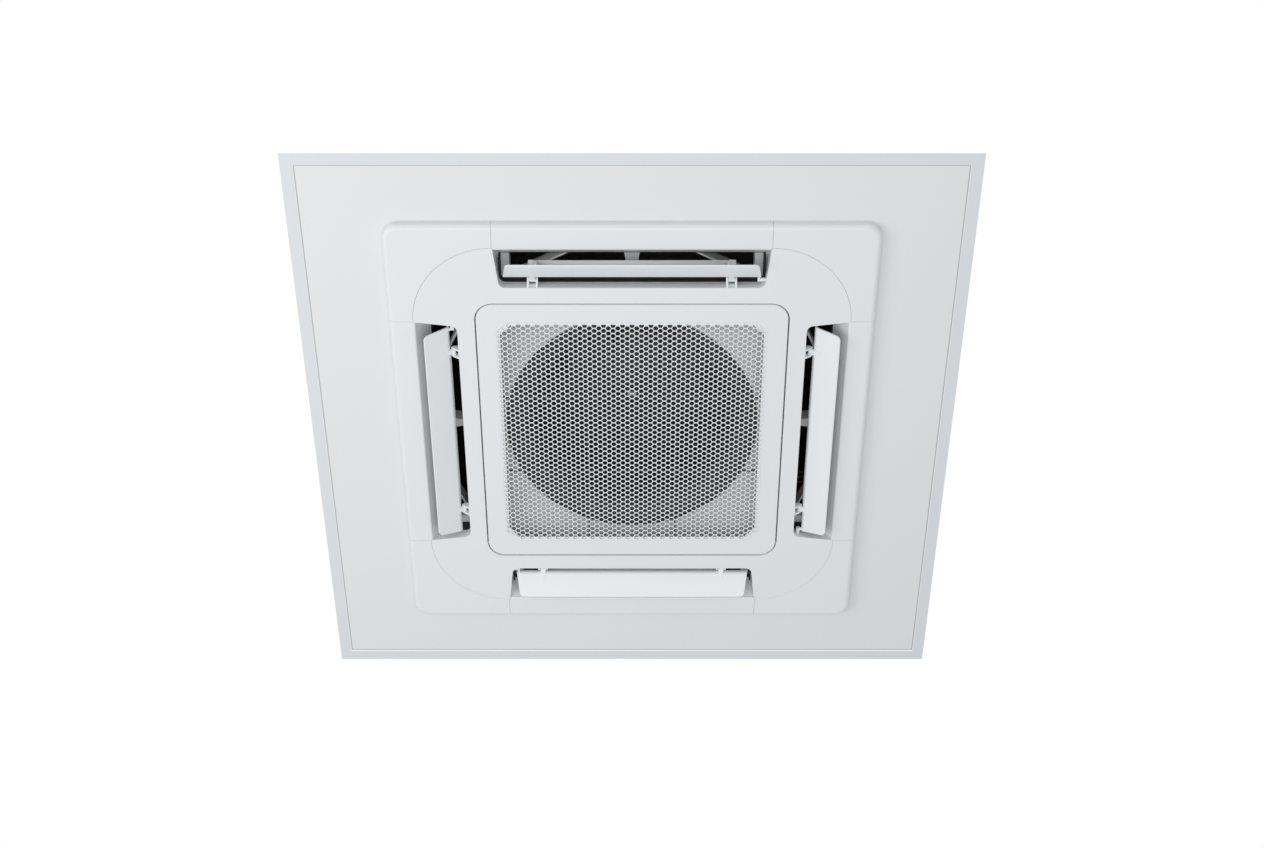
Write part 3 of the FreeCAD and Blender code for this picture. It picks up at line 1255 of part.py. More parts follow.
def fan_nut():
    """The nut that holds the fan on its shaft."""
    low = FAN_BOSS_LOW - NUT_HEIGHT
    nut = small_rod(NUT_RADIUS, Vector(0, 0, low), Vector(0, 0, FAN_BOSS_LOW), 6)
    return nut.cut(shaft_bore(low, FAN_BOSS_LOW))


def motor_mount_places():
    """Where the four rubber mounts stand."""
    places = []
    for quarter in range(4):
        angle = math.radians(45.0 + 90.0 * quarter)
        places.append((MOTOR_MOUNT_AT * math.cos(angle), MOTOR_MOUNT_AT * math.sin(angle)))
    return places


def fan_motor():
    """The fan motor with a bevelled can, a flange and the shaft's bore."""
    flange_top = MOTOR_FLANGE_Z + MOTOR_FLANGE_THICK
    motor = lathe([
        (0.0, MOTOR_LOW), (MOTOR_RADIUS - MOTOR_BEVEL, MOTOR_LOW), (MOTOR_RADIUS, MOTOR_LOW + MOTOR_BEVEL),
        (MOTOR_RADIUS, MOTOR_FLANGE_Z), (MOTOR_FLANGE_RADIUS, MOTOR_FLANGE_Z), (MOTOR_FLANGE_RADIUS, flange_top),
        (0.0, flange_top),
    ])
    return motor.cut(shaft_bore(MOTOR_LOW - CUT, MOTOR_FLANGE_Z - MOTOR_BORE_END))


def motor_mounts():
    """The four rubber mounts between the motor's flange and the roof."""
    low = MOTOR_FLANGE_Z + MOTOR_FLANGE_THICK
    return group([small_rod(MOTOR_MOUNT_RADIUS, Vector(x, y, low), Vector(x, y, CASING_TOP))
                  for x, y in motor_mount_places()])


def refrigerant_pipe(z, radius, header_low, header_high):
    """A header on the coil's right end with the copper pipe that leaves it through the right wall."""
    x = COIL_OUTER - COIL_DEPTH * 3 / 4
    plate = COIL_END + COIL_PLATE
    header = small_rod(HEADER_RADIUS, Vector(x, PIPE_Y, header_low), Vector(x, PIPE_Y, header_high))
    branch = small_rod(radius, Vector(x, PIPE_Y, z), Vector(UNION_START, PIPE_Y, z), PIPE_SIDES)
    feeds = [
        small_rod(TUBE_RADIUS, Vector(x, plate, feed_z), Vector(x, PIPE_Y, feed_z))
        for feed_z in (header_low + HEADER_RADIUS, header_high - HEADER_RADIUS)
    ]
    return joined([header, branch] + feeds)


def gas_pipe():
    """The wider pipe, which takes the gas away."""
    return refrigerant_pipe(GAS_PIPE_Z, GAS_PIPE_RADIUS, GAS_HEADER_LOW, GAS_HEADER_HIGH)


def liquid_pipe():
    """The thinner pipe, which brings the liquid."""
    return refrigerant_pipe(LIQUID_PIPE_Z, LIQUID_PIPE_RADIUS, LIQUID_HEADER_LOW, LIQUID_HEADER_HIGH)


def flare_union(z, thread_radius):
    """A brass union on a pipe's end: a hexagon with a male stub."""
    start = Vector(UNION_START, PIPE_Y, z)
    hex_end = start + Vector(UNION_HEX, 0, 0)
    nut = small_rod(thread_radius * UNION_HEX_SHARE, start, hex_end, 6)
    return nut.fuse(rod(thread_radius, hex_end, hex_end + Vector(UNION_STUB, 0, 0)))


def flare_unions():
    """The unions of the two pipes."""
    return group([flare_union(GAS_PIPE_Z, GAS_THREAD_RADIUS), flare_union(LIQUID_PIPE_Z, LIQUID_THREAD_RADIUS)])


def pipe_plate():
    """The cover plate round the pipes and the drain on the right wall."""
    low_z = LIQUID_PIPE_Z - LIQUID_PIPE_RADIUS - PLATE_MARGIN
    high_z = DRAIN_Z + DRAIN_SOCKET_RADIUS + PLATE_MARGIN
    low_y = PIPE_Y - GAS_PIPE_RADIUS - PLATE_MARGIN
    high_y = CASING_HALF - CASING_CHAMFER - PLATE_EDGE_ROOM
    plate = box(CASING_HALF, CASING_HALF + SHEET_STEEL, low_y, high_y, low_z, high_z)
    return plate.cut(pipe_holes(CASING_HALF, CASING_HALF + SHEET_STEEL, SLIDE_FIT))


def drain_pump():
    """The lift pump in the open corner with its riser to the drain socket."""
    at = Vector(PUMP_X, DRAIN_Y, PAN_TOP)
    bend = Vector(PUMP_X, DRAIN_Y, DRAIN_Z)
    head = Vector(PUMP_X, DRAIN_Y, PUMP_HIGH)
    body = small_rod(PUMP_RADIUS, at, head, PIPE_SIDES)
    intake = small_rod(PUMP_RADIUS / 2, Vector(PUMP_X, DRAIN_Y, PAN_CHANNEL_FLOOR + PUMP_LIFT), at)
    riser = small_rod(DRAIN_PIPE_RADIUS, head - UP * PUMP_LIFT, bend + UP * DRAIN_PIPE_RADIUS)
    run = small_rod(DRAIN_PIPE_RADIUS, bend, Vector(DRAIN_SOCKET_START + DRAIN_OVERLAP, DRAIN_Y, DRAIN_Z))
    return joined([body, intake, riser, run])


def drain_socket():
    """The outlet socket that a drain hose pushes on to, seated on the pipe plate."""
    start = Vector(DRAIN_SOCKET_START, DRAIN_Y, DRAIN_Z)
    end = start + Vector(DRAIN_SOCKET_LENGTH, 0, 0)
    return rod(DRAIN_SOCKET_RADIUS, start, end).cut(small_bore(DRAIN_PIPE_RADIUS + RUNNING_FIT, start, end))


def float_switch():
    """The level switch beside the pump: a stem with a foot below and a stop above its float."""
    stop_at = FLOAT_FOOT_HEIGHT + FLOAT_HEIGHT + FLOAT_TRAVEL + SLIDE_FIT
    top = FLOAT_AT + UP * FLOAT_STEM_LENGTH
    stem = small_rod(FLOAT_STEM_RADIUS, FLOAT_AT, top)
    foot = small_rod(FLOAT_STOP_RADIUS, FLOAT_AT, FLOAT_AT + UP * FLOAT_FOOT_HEIGHT)
    stop = small_rod(FLOAT_STOP_RADIUS, FLOAT_AT + UP * stop_at, top)
    return joined([stem, foot, stop])


def level_float():
    """The ring-shaped float that rises on the switch's stem."""
    low = FLOAT_AT + UP * FLOAT_FOOT_HEIGHT
    high = low + UP * FLOAT_HEIGHT
    return small_rod(FLOAT_RADIUS, low, high).cut(small_bore(FLOAT_STEM_RADIUS + RUNNING_FIT, low, high))


def control_box():
    """The electrical box on the left wall, open on its outer side."""
    outside = -CASING_HALF - CONTROL_DEPTH
    half = CONTROL_LENGTH / 2
    top = CONTROL_LOW + CONTROL_HEIGHT
    outer = box(outside, -CASING_HALF, -half, half, CONTROL_LOW, top)
    inner = box(outside, -CASING_HALF - SHEET_STEEL, -half + SHEET_STEEL, half - SHEET_STEEL,
                CONTROL_LOW + SHEET_STEEL, top - SHEET_STEEL)
    return outer.cut(inner)


def control_cover():
    """The box's cover with folded edges at its top and bottom."""
    outside = -CASING_HALF - CONTROL_DEPTH
    half = CONTROL_LENGTH / 2
    top = CONTROL_LOW + CONTROL_HEIGHT
    plate = box(outside - SHEET_STEEL, outside, -half, half, CONTROL_LOW - SHEET_STEEL, top + SHEET_STEEL)
    folds = [
        box(outside - SHEET_STEEL, outside + COVER_FOLD, -half, half, top, top + SHEET_STEEL),
        box(outside - SHEET_STEEL, outside + COVER_FOLD, -half, half, CONTROL_LOW - SHEET_STEEL, CONTROL_LOW),
    ]
    return joined([plate] + folds)


def build():
    """Makes every piece and writes it out."""
    os.makedirs("parts", exist_ok=True)
    export("panel_frame", panel_frame())
    export("inlet_frame", inlet_frame())
    trim = outlet_trim()
    liner = outlet_liner()
    level_flap = flap()
    for side, angle in SIDES.items():
        export("outlet_trim_" + side, turned(trim, angle))
        export("outlet_liner_" + side, turned(liner, angle))
        export("flap_" + side, turned(swung(level_flap, FLAP_ANGLES[side]), angle))
    cover = corner_cover()
    for corner, angle in CORNERS.items():
        export("corner_cover_" + corner, turned(cover, angle))
    export("panel_seals", panel_seals())
    export("panel_screws", panel_screws())
    export("panel_spacers", panel_spacers())
    export("panel_brackets", panel_brackets())
    export("flap_clips", flap_clips())
    export("swing_motors", swing_motors())
    export("grille_frame", grille_frame())
    export("perforated_sheet", perforated_sheet())
    export("filter_frame", filter_frame())
    export("filter_net", filter_net())
    export("grille_latch_left", grille_latch(-LATCH_AT))
    export("grille_latch_right", grille_latch(LATCH_AT))
    export("casing", casing())
    export("top_plate", top_plate())
    export("insulation_liner", insulation_liner())
    export("hanger_brackets", hanger_brackets())
    export("casing_screws", casing_screws())
    export("drain_pan", drain_pan())
    export("outlet_ribs", outlet_ribs())
    export("bell_mouth", bell_mouth())
    export("coil_fins", coil_fins())
    export("coil_end_plates", coil_end_plates())
    export("coil_tubes", coil_tubes())
    export("fan_hub", fan_hub())
    export("fan_blades", fan_blades())
    export("fan_ring", fan_ring())
    export("motor_shaft", motor_shaft())
    export("fan_nut", fan_nut())
    export("fan_motor", fan_motor())
    export("motor_mounts", motor_mounts())
    export("gas_pipe", gas_pipe())
    export("liquid_pipe", liquid_pipe())
    export("flare_unions", flare_unions())
    export("pipe_plate", pipe_plate())
    export("drain_pump", drain_pump())
    export("drain_socket", drain_socket())
    export("float_switch", float_switch())
    export("level_float", level_float())
    export("control_box", control_box())
    export("control_cover", control_cover())


build()
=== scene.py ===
"""Ceiling cassette air conditioner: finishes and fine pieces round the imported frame, in metres."""

import json
import logging
import math
from dataclasses import dataclass, field, replace
from enum import Enum
from typing import Sequence

import bmesh
import bpy
from mathutils import Matrix, Vector


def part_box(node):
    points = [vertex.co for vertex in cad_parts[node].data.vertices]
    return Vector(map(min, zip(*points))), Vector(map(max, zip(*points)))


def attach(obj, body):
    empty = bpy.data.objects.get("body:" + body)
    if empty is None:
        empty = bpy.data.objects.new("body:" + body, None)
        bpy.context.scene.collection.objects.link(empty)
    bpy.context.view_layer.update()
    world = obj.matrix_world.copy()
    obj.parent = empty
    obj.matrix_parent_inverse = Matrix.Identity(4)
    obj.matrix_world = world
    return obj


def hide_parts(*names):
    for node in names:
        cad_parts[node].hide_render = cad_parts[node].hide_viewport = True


log = logging.getLogger("cassette")
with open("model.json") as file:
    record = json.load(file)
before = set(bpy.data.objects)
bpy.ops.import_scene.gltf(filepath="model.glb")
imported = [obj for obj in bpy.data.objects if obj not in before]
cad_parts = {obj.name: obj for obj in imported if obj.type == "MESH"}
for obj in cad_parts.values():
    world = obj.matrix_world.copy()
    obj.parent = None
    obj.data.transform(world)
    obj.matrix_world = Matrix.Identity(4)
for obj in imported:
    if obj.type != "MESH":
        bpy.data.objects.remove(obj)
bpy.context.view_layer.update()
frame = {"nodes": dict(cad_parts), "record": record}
MM = 0.001
QUARTER_TURN = math.pi / 2.0

Colour = tuple[float, float, float]
Point = tuple[float, float, float]
Tree = bpy.types.NodeTree
Node = bpy.types.Node
Socket = bpy.types.NodeSocket


class Graph:
    """Short ways to add nodes to a tree."""

    def __init__(self, tree: Tree) -> None:
        """Keeps the tree's nodes and its way to link them."""
        self.nodes = tree.nodes
        self.link = tree.links.new

    def add(self, kind: str, inputs: dict[str, object] | None = None, **settings: object) -> Node:
        """Adds a node, with its settings and its inputs set or linked.

        Args:
            kind: The node's type.
            inputs: A plain value or a socket for each input, by its name.
            settings: The node's own settings.

        Returns:
            The new node.
        """
        node = self.nodes.new(kind)
        for label, value in settings.items():
            setattr(node, label, value)
        for label, value in (inputs or {}).items():
            self._feed(node.inputs[label], value)
        return node

    def sum(self, operation: str, *values: object, clamp: bool = False) -> Socket:
        """Works out one number from others.

        Args:
            operation: The kind of sum.
            values: Plain numbers or sockets.
            clamp: Whether the result stays between nought and one.

        Returns:
            The result's socket.
        """
        node = self.add("ShaderNodeMath", operation=operation, use_clamp=clamp)
        for socket, value in zip(node.inputs, values):
            self._feed(socket, value)
        return node.outputs[0]

    def vector(self, x: object = 0.0, y: object = 0.0, z: object = 0.0) -> Socket:
        """A vector from three numbers or sockets."""
        return self.add("ShaderNodeCombineXYZ", {"X": x, "Y": y, "Z": z}).outputs[0]

    def joined(self, *parts: Socket) -> Socket:
        """Several geometries as one.

        Args:
            parts: The geometries' sockets.

        Returns:
            The socket of the whole.
        """
        node = self.add("GeometryNodeJoinGeometry")
        for part in parts:
            self.link(part, node.inputs[0])
        return node.outputs[0]

    def cut(self, body: Socket, tool: Socket) -> Socket:
        """One geometry less another."""
        node = self.add("GeometryNodeMeshBoolean", {"Mesh 1": body, "Mesh 2": tool},
                        operation="DIFFERENCE", solver="MANIFOLD")
        return node.outputs["Mesh"]

    def painted(self, geometry: Socket, material: Socket) -> Socket:
        """The last steps of a tree: real geometry with its material."""
        real = self.add("GeometryNodeRealizeInstances", {"Geometry": geometry})
        return self.add("GeometryNodeSetMaterial", {"Geometry": real.outputs[0], "Material": material}).outputs[0]

    def _feed(self, socket: Socket, value: object) -> None:
        """Sets a plain value or links a socket.

        Args:
            socket: The input.
            value: A plain value, or the socket that feeds it.
        """
        if isinstance(value, Socket):
            self.link(value, socket)
        else:
            socket.default_value = value


class Surface(Enum):
    """The kinds of surface that the finishes are made from."""

    MOULDED = "moulded"
    SPANGLED = "spangled"
    DRAWN = "drawn"
    FOAM = "foam"
    FINNED = "finned"


class Shared:
    """Shader node groups that several finishes place with their own values."""

    broad_detail: float = 3.0
    dust_scale: float = 14.0
    dust_detail: float = 5.0
    dust_colour: tuple[float, ...] = (0.36, 0.34, 0.31, 1.0)
    pattern_outputs: Sequence[tuple[str, str]] = (
        ("Colour", "NodeSocketColor"), ("Roughness", "NodeSocketFloat"), ("Height", "NodeSocketFloat"))

    def __init__(self) -> None:
        """Builds each group once."""
        self.grain = self._grain()
        self.spangle = self._spangle()
        self.dust = self._dust()

    @staticmethod
    def _group(name: str, inputs: Sequence[tuple[str, str, object]],
               outputs: Sequence[tuple[str, str]]) -> tuple[Tree, Node, Node]:
        """Starts a shader group with named sockets.

        Args:
            name: The group's name.
            inputs: Name, socket type and default of each input.
            outputs: Name and socket type of each output.

        Returns:
            The tree, its input node and its output node.
        """
        tree = bpy.data.node_groups.new(name, "ShaderNodeTree")
        for label, kind, value in inputs:
            tree.interface.new_socket(label, in_out="INPUT", socket_type=kind).default_value = value
        for label, kind in outputs:
            tree.interface.new_socket(label, in_out="OUTPUT", socket_type=kind)
        return tree, tree.nodes.new("NodeGroupInput"), tree.nodes.new("NodeGroupOutput")

    @staticmethod
    def _vary(graph: Graph, source: Node, sink: Node, value: Socket, contrast: Socket, spread: Socket) -> None:
        """Varies the group's colour and roughness with a pattern's value.

        Args:
            graph: The group's tree.
            source: Its input node.
            sink: Its output node.
            value: The pattern, from nought to one.
            contrast: How far the colour follows it.
            spread: How far the roughness follows it.
        """
        centred = graph.sum("SUBTRACT", value, 0.5)
        shade = graph.add("ShaderNodeVectorMath", {
            "Vector": source.outputs["Colour"], "Scale": graph.sum("MULTIPLY_ADD", centred, contrast, 1.0)},
            operation="SCALE")
        rough = graph.sum("MULTIPLY_ADD", centred, spread, source.outputs["Roughness"])
        graph.link(shade.outputs["Vector"], sink.inputs["Colour"])
        graph.link(rough, sink.inputs["Roughness"])

    def _grain(self) -> Tree:
        """Fine speckle with broad, faint mottling, as on moulded plastic and foam.

        Returns:
            The group's tree.
        """
        tree, source, sink = self._group(
            "grain",
            [("Position", "NodeSocketVector", (0.0, 0.0, 0.0)), ("Colour", "NodeSocketColor", (0.8, 0.8, 0.8, 1.0)),
             ("Fine scale", "NodeSocketFloat", 2500.0), ("Broad scale", "NodeSocketFloat", 9.0),
             ("Mottle", "NodeSocketFloat", 0.03), ("Roughness", "NodeSocketFloat", 0.4),
             ("Roughness spread", "NodeSocketFloat", 0.08)],
            self.pattern_outputs)
        graph, given = Graph(tree), source.outputs
        fine = graph.add("ShaderNodeTexNoise", {"Vector": given["Position"], "Scale": given["Fine scale"]})
        broad = graph.add("ShaderNodeTexNoise", {
            "Vector": given["Position"], "Scale": given["Broad scale"], "Detail": self.broad_detail})
        self._vary(graph, source, sink, broad.outputs["Fac"], given["Mottle"], given["Roughness spread"])
        graph.link(fine.outputs["Fac"], sink.inputs["Height"])
        return tree

    def _spangle(self) -> Tree:
        """The crystal pattern of zinc on steel.

        Returns:
            The group's tree.
        """
        tree, source, sink = self._group(
            "spangle",
            [("Position", "NodeSocketVector", (0.0, 0.0, 0.0)), ("Colour", "NodeSocketColor", (0.6, 0.6, 0.6, 1.0)),
             ("Crystal scale", "NodeSocketFloat", 90.0), ("Contrast", "NodeSocketFloat", 0.25),
             ("Roughness", "NodeSocketFloat", 0.4)],
            self.pattern_outputs)
        graph, given = Graph(tree), source.outputs
        cells = graph.add("ShaderNodeTexVoronoi", {"Vector": given["Position"], "Scale": given["Crystal scale"]})
        value = graph.add("ShaderNodeSeparateColor", {"Color": cells.outputs["Color"]}).outputs[0]
        self._vary(graph, source, sink, value, given["Contrast"], given["Contrast"])
        graph.link(cells.outputs["Distance"], sink.inputs["Height"])
        return tree

    def _dust(self) -> Tree:
        """Grey dust that settles on faces that look up.

        Returns:
            The group's tree.
        """
        tree, source, sink = self._group(
            "dust",
            [("Position", "NodeSocketVector", (0.0, 0.0, 0.0)), ("Normal", "NodeSocketVector", (0.0, 0.0, 1.0)),
             ("Colour", "NodeSocketColor", (0.8, 0.8, 0.8, 1.0)), ("Amount", "NodeSocketFloat", 0.2)],
            [("Colour", "NodeSocketColor")])
        graph, given = Graph(tree), source.outputs
        facing = graph.add("ShaderNodeSeparateXYZ", {"Vector": given["Normal"]}).outputs["Z"]
        patches = graph.add("ShaderNodeTexNoise", {
            "Vector": given["Position"], "Scale": self.dust_scale, "Detail": self.dust_detail})
        settled = graph.sum("MULTIPLY", facing, patches.outputs["Fac"], clamp=True)
        mask = graph.sum("MULTIPLY", settled, given["Amount"], clamp=True)
        mix = graph.add("ShaderNodeMix", {
            "Factor": mask, "A": given["Colour"], "B": self.dust_colour}, data_type="RGBA")
        graph.link(mix.outputs["Result"], sink.inputs["Colour"])
        return tree


STRETCHES = {Surface.DRAWN: (0.04, 1.0, 1.0), Surface.FINNED: (1.0, 1.0, 0.01)}
BUMP_SHARE = 0.2


@dataclass(frozen=True)
class Finish:
    """One finish: its surface, colour and the sizes of its texture.

    Sizes are in metres, so that a speckle is as large as the real one.
    """

    name: str
    surface: Surface
    colour: Colour
    roughness: float
    metallic: float = 0.0
    speckle: float = 0.0005
    bump: float = 0.15
    mottle: float = 0.04
    dust: float = 0.0

    def material(self, shared: Shared) -> bpy.types.Material:
        """Builds the finish as a material.

        Args:
            shared: The node groups that it places.

        Returns:
            The new material.
        """
        made = bpy.data.materials.new(self.name)
        made.use_nodes = True
        graph = Graph(made.node_tree)
        shader = made.node_tree.nodes["Principled BSDF"]
        shader.inputs["Metallic"].default_value = self.metallic
        place = graph.add("ShaderNodeTexCoord").outputs["Object"]
        effect = self._effect(graph, shared, self._position(graph, place))
        colour = effect.outputs["Colour"]
        if self.dust > 0.0:
            colour = self._dusted(graph, shared, place, colour)
        bump = graph.add("ShaderNodeBump", {
            "Strength": self.bump, "Distance": self.speckle * BUMP_SHARE, "Height": effect.outputs["Height"]})
        graph.link(colour, shader.inputs["Base Color"])
        graph.link(effect.outputs["Roughness"], shader.inputs["Roughness"])
        graph.link(bump.outputs["Normal"], shader.inputs["Normal"])
        return made

    def _effect(self, graph: Graph, shared: Shared, position: Socket) -> Node:
        """Places the node group that the surface has.

        Args:
            graph: The material's tree.
            shared: The node groups.
            position: Where the pattern is read.

        Returns:
            The group's node.
        """
        values = {"Position": position, "Colour": (*self.colour, 1.0), "Roughness": self.roughness}
        if self.surface is Surface.SPANGLED:
            return graph.add("ShaderNodeGroup", {**values, "Crystal scale": 1.0 / self.speckle},
                             node_tree=shared.spangle)
        return graph.add("ShaderNodeGroup", {**values, "Fine scale": 1.0 / self.speckle, "Mottle": self.mottle},
                         node_tree=shared.grain)

    def _position(self, graph: Graph, place: Socket) -> Socket:
        """Stretches the pattern where the finish runs one way.

        Args:
            graph: The material's tree.
            place: The object coordinates.

        Returns:
            The socket that gives the pattern's position.
        """
        stretch = STRETCHES.get(self.surface)
        if stretch is None:
            return place
        return graph.add("ShaderNodeMapping", {"Vector": place, "Scale": stretch}).outputs["Vector"]

    def _dusted(self, graph: Graph, shared: Shared, place: Socket, colour: Socket) -> Socket:
        """Lays dust over the colour.

        Args:
            graph: The material's tree.
            shared: The node groups.
            place: The object coordinates.
            colour: The clean colour.

        Returns:
            The dusted colour.
        """
        normal = graph.add("ShaderNodeNewGeometry").outputs["Normal"]
        layer = graph.add("ShaderNodeGroup", {
            "Position": place, "Normal": normal, "Colour": colour, "Amount": self.dust}, node_tree=shared.dust)
        return layer.outputs["Colour"]


FINISHES = (
    Finish("panel_white", Surface.MOULDED, (0.768, 0.792, 0.802), 0.38, bump=0.08, mottle=0.015),
    # Painted light: the flaps' white is a lighter copy of the panel's white, to brighten flaps that sit in the
    # outlets' shade
    Finish("flap_white", Surface.MOULDED, (0.800, 0.822, 0.835), 0.34, bump=0.06, mottle=0.015),
    Finish("clip_white", Surface.MOULDED, (0.760, 0.795, 0.815), 0.42),
    Finish("grille_white", Surface.MOULDED, (0.768, 0.792, 0.802), 0.38, bump=0.08, mottle=0.015),
    Finish("sheet_white", Surface.MOULDED, (0.768, 0.792, 0.802), 0.42, bump=0.06, mottle=0.015),
    Finish("latch_grey", Surface.MOULDED, (0.50, 0.52, 0.53), 0.45),
    Finish("filter_grey", Surface.MOULDED, (0.035, 0.036, 0.038), 0.55),
    Finish("net_dark", Surface.MOULDED, (0.10, 0.10, 0.11), 0.7),
    Finish("foam_black", Surface.FOAM, (0.020, 0.020, 0.021), 0.95, speckle=0.0012, bump=0.6),
    Finish("foam_grey", Surface.FOAM, (0.030, 0.030, 0.032), 0.9, speckle=0.0025, bump=0.6, mottle=0.1),
    Finish("pan_grey", Surface.FOAM, (0.74, 0.75, 0.755), 0.7, speckle=0.003, bump=0.4, mottle=0.12),
    Finish("bell_black", Surface.MOULDED, (0.012, 0.012, 0.013), 0.55),
    Finish("fan_grey", Surface.MOULDED, (0.015, 0.015, 0.016), 0.6),
    Finish("fin_aluminium", Surface.FINNED, (0.62, 0.65, 0.68), 0.4, metallic=0.9, speckle=0.0016, bump=1.0),
    Finish("copper", Surface.DRAWN, (0.17, 0.085, 0.055), 0.42, metallic=1.0, mottle=0.35),
    Finish("brass", Surface.DRAWN, (0.71, 0.52, 0.23), 0.28, metallic=1.0, mottle=0.1),
    Finish("galvanised", Surface.SPANGLED, (0.56, 0.58, 0.60), 0.42, metallic=0.85,
           speckle=0.011, bump=0.03, dust=0.5),
    Finish("zinc", Surface.DRAWN, (0.30, 0.305, 0.30), 0.40, metallic=1.0, mottle=0.1),
    Finish("shaft_steel", Surface.DRAWN, (0.26, 0.265, 0.27), 0.35, metallic=1.0, mottle=0.1),
    Finish("motor_grey", Surface.MOULDED, (0.20, 0.21, 0.22), 0.45),
    Finish("rubber_black", Surface.MOULDED, (0.02, 0.02, 0.02), 0.8),
    Finish("pump_white", Surface.MOULDED, (0.68, 0.69, 0.68), 0.45),
    Finish("float_black", Surface.MOULDED, (0.03, 0.03, 0.03), 0.6),
)


class Paint:
    """Every finish as a material, by the slot that it belongs to."""

    def __init__(self) -> None:
        """Builds every finish once."""
        shared = Shared()
        self.materials = {finish.name: finish.material(shared) for finish in FINISHES}

    def __getitem__(self, slot: str) -> bpy.types.Material:
        """The material of a slot."""
        return self.materials[slot]

    def dress_nodes(self) -> None:
        """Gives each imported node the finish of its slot."""
        for row in frame["record"]["subparts"]:
            node = frame["nodes"][row["node"]]
            node.data.materials.clear()
            node.data.materials.append(self[row["material_slot"]])


def placed(name: str, data: bpy.types.ID) -> bpy.types.Object:
    """Puts a mesh, lamp or camera in the scene.

    Args:
        name: The new object's name.
        data: What it shows.

    Returns:
        The new object, at the origin.
    """
    made = bpy.data.objects.new(name, data)
    bpy.context.scene.collection.objects.link(made)
    return made


def kept_mesh(name: str, shape: bmesh.types.BMesh) -> bpy.types.Mesh:
    """Turns a shape that was being edited into a mesh.

    Args:
        name: The mesh's name.
        shape: The shape, which is freed.

    Returns:
        The new mesh.
    """
    mesh = bpy.data.meshes.new(name)
    shape.to_mesh(mesh)
    shape.free()
    return mesh


def plain_mesh(name: str, holder: bpy.types.Object) -> bpy.types.Object:
    """Turns an object with modifiers into a plain mesh of its own.

    Args:
        name: The new piece's name.
        holder: The object, which is removed.

    Returns:
        The new object, at the origin.
    """
    view = bpy.context.evaluated_depsgraph_get()
    mesh = bpy.data.meshes.new_from_object(holder.evaluated_get(view))
    bpy.data.objects.remove(holder)
    mesh.name = name
    return placed(name, mesh)


def node_tree(name: str, inputs: dict[str, tuple[str, object]]) -> tuple[Tree, Node, Node]:
    """Starts a geometry tree with named inputs, the first of them the mesh that it starts from.

    Args:
        name: The tree's name.
        inputs: Each input's socket type and value, by its name.

    Returns:
        The tree, its input node and its output node.
    """
    tree = bpy.data.node_groups.new(name, "GeometryNodeTree")
    tree.interface.new_socket("Geometry", in_out="OUTPUT", socket_type="NodeSocketGeometry")
    tree.interface.new_socket("Start", in_out="INPUT", socket_type="NodeSocketGeometry")
    for label, (kind, value) in inputs.items():
        socket = tree.interface.new_socket(label, in_out="INPUT", socket_type=kind)
        socket.default_value = value
    return tree, tree.nodes.new("NodeGroupInput"), tree.nodes.new("NodeGroupOutput")


def finished_mesh(name: str, tree: Tree, values: dict[str, object],
                  start: bpy.types.Mesh | None = None) -> bpy.types.Object:
    """Runs a geometry tree once and keeps its result as a plain mesh.

    Args:
        name: The new piece's name.
        tree: The tree, which ends in realised instances with a material.
        values: Values for its named inputs.
        start: The mesh that the tree starts from, where it needs one.

    Returns:
        The new object, at the origin.
    """
    holder = placed(name + "_tree", start or bpy.data.meshes.new(name + "_tree"))
    modifier = holder.modifiers.new("tree", "NODES")
    modifier.node_group = tree
    for item in tree.interface.items_tree:
        if item.item_type == "SOCKET" and item.in_out == "INPUT" and item.name in values:
            modifier[item.identifier] = values[item.name]
    return plain_mesh(name, holder)


def settle(piece: bpy.types.Object, body: str, slot: str, *nodes: str) -> None:
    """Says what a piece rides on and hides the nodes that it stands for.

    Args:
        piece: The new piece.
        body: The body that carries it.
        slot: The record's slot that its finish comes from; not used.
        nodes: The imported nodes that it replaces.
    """
    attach(piece, body)
    if nodes:
        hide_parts(*nodes)
    log.info("%s rides on %s", piece.name, body)


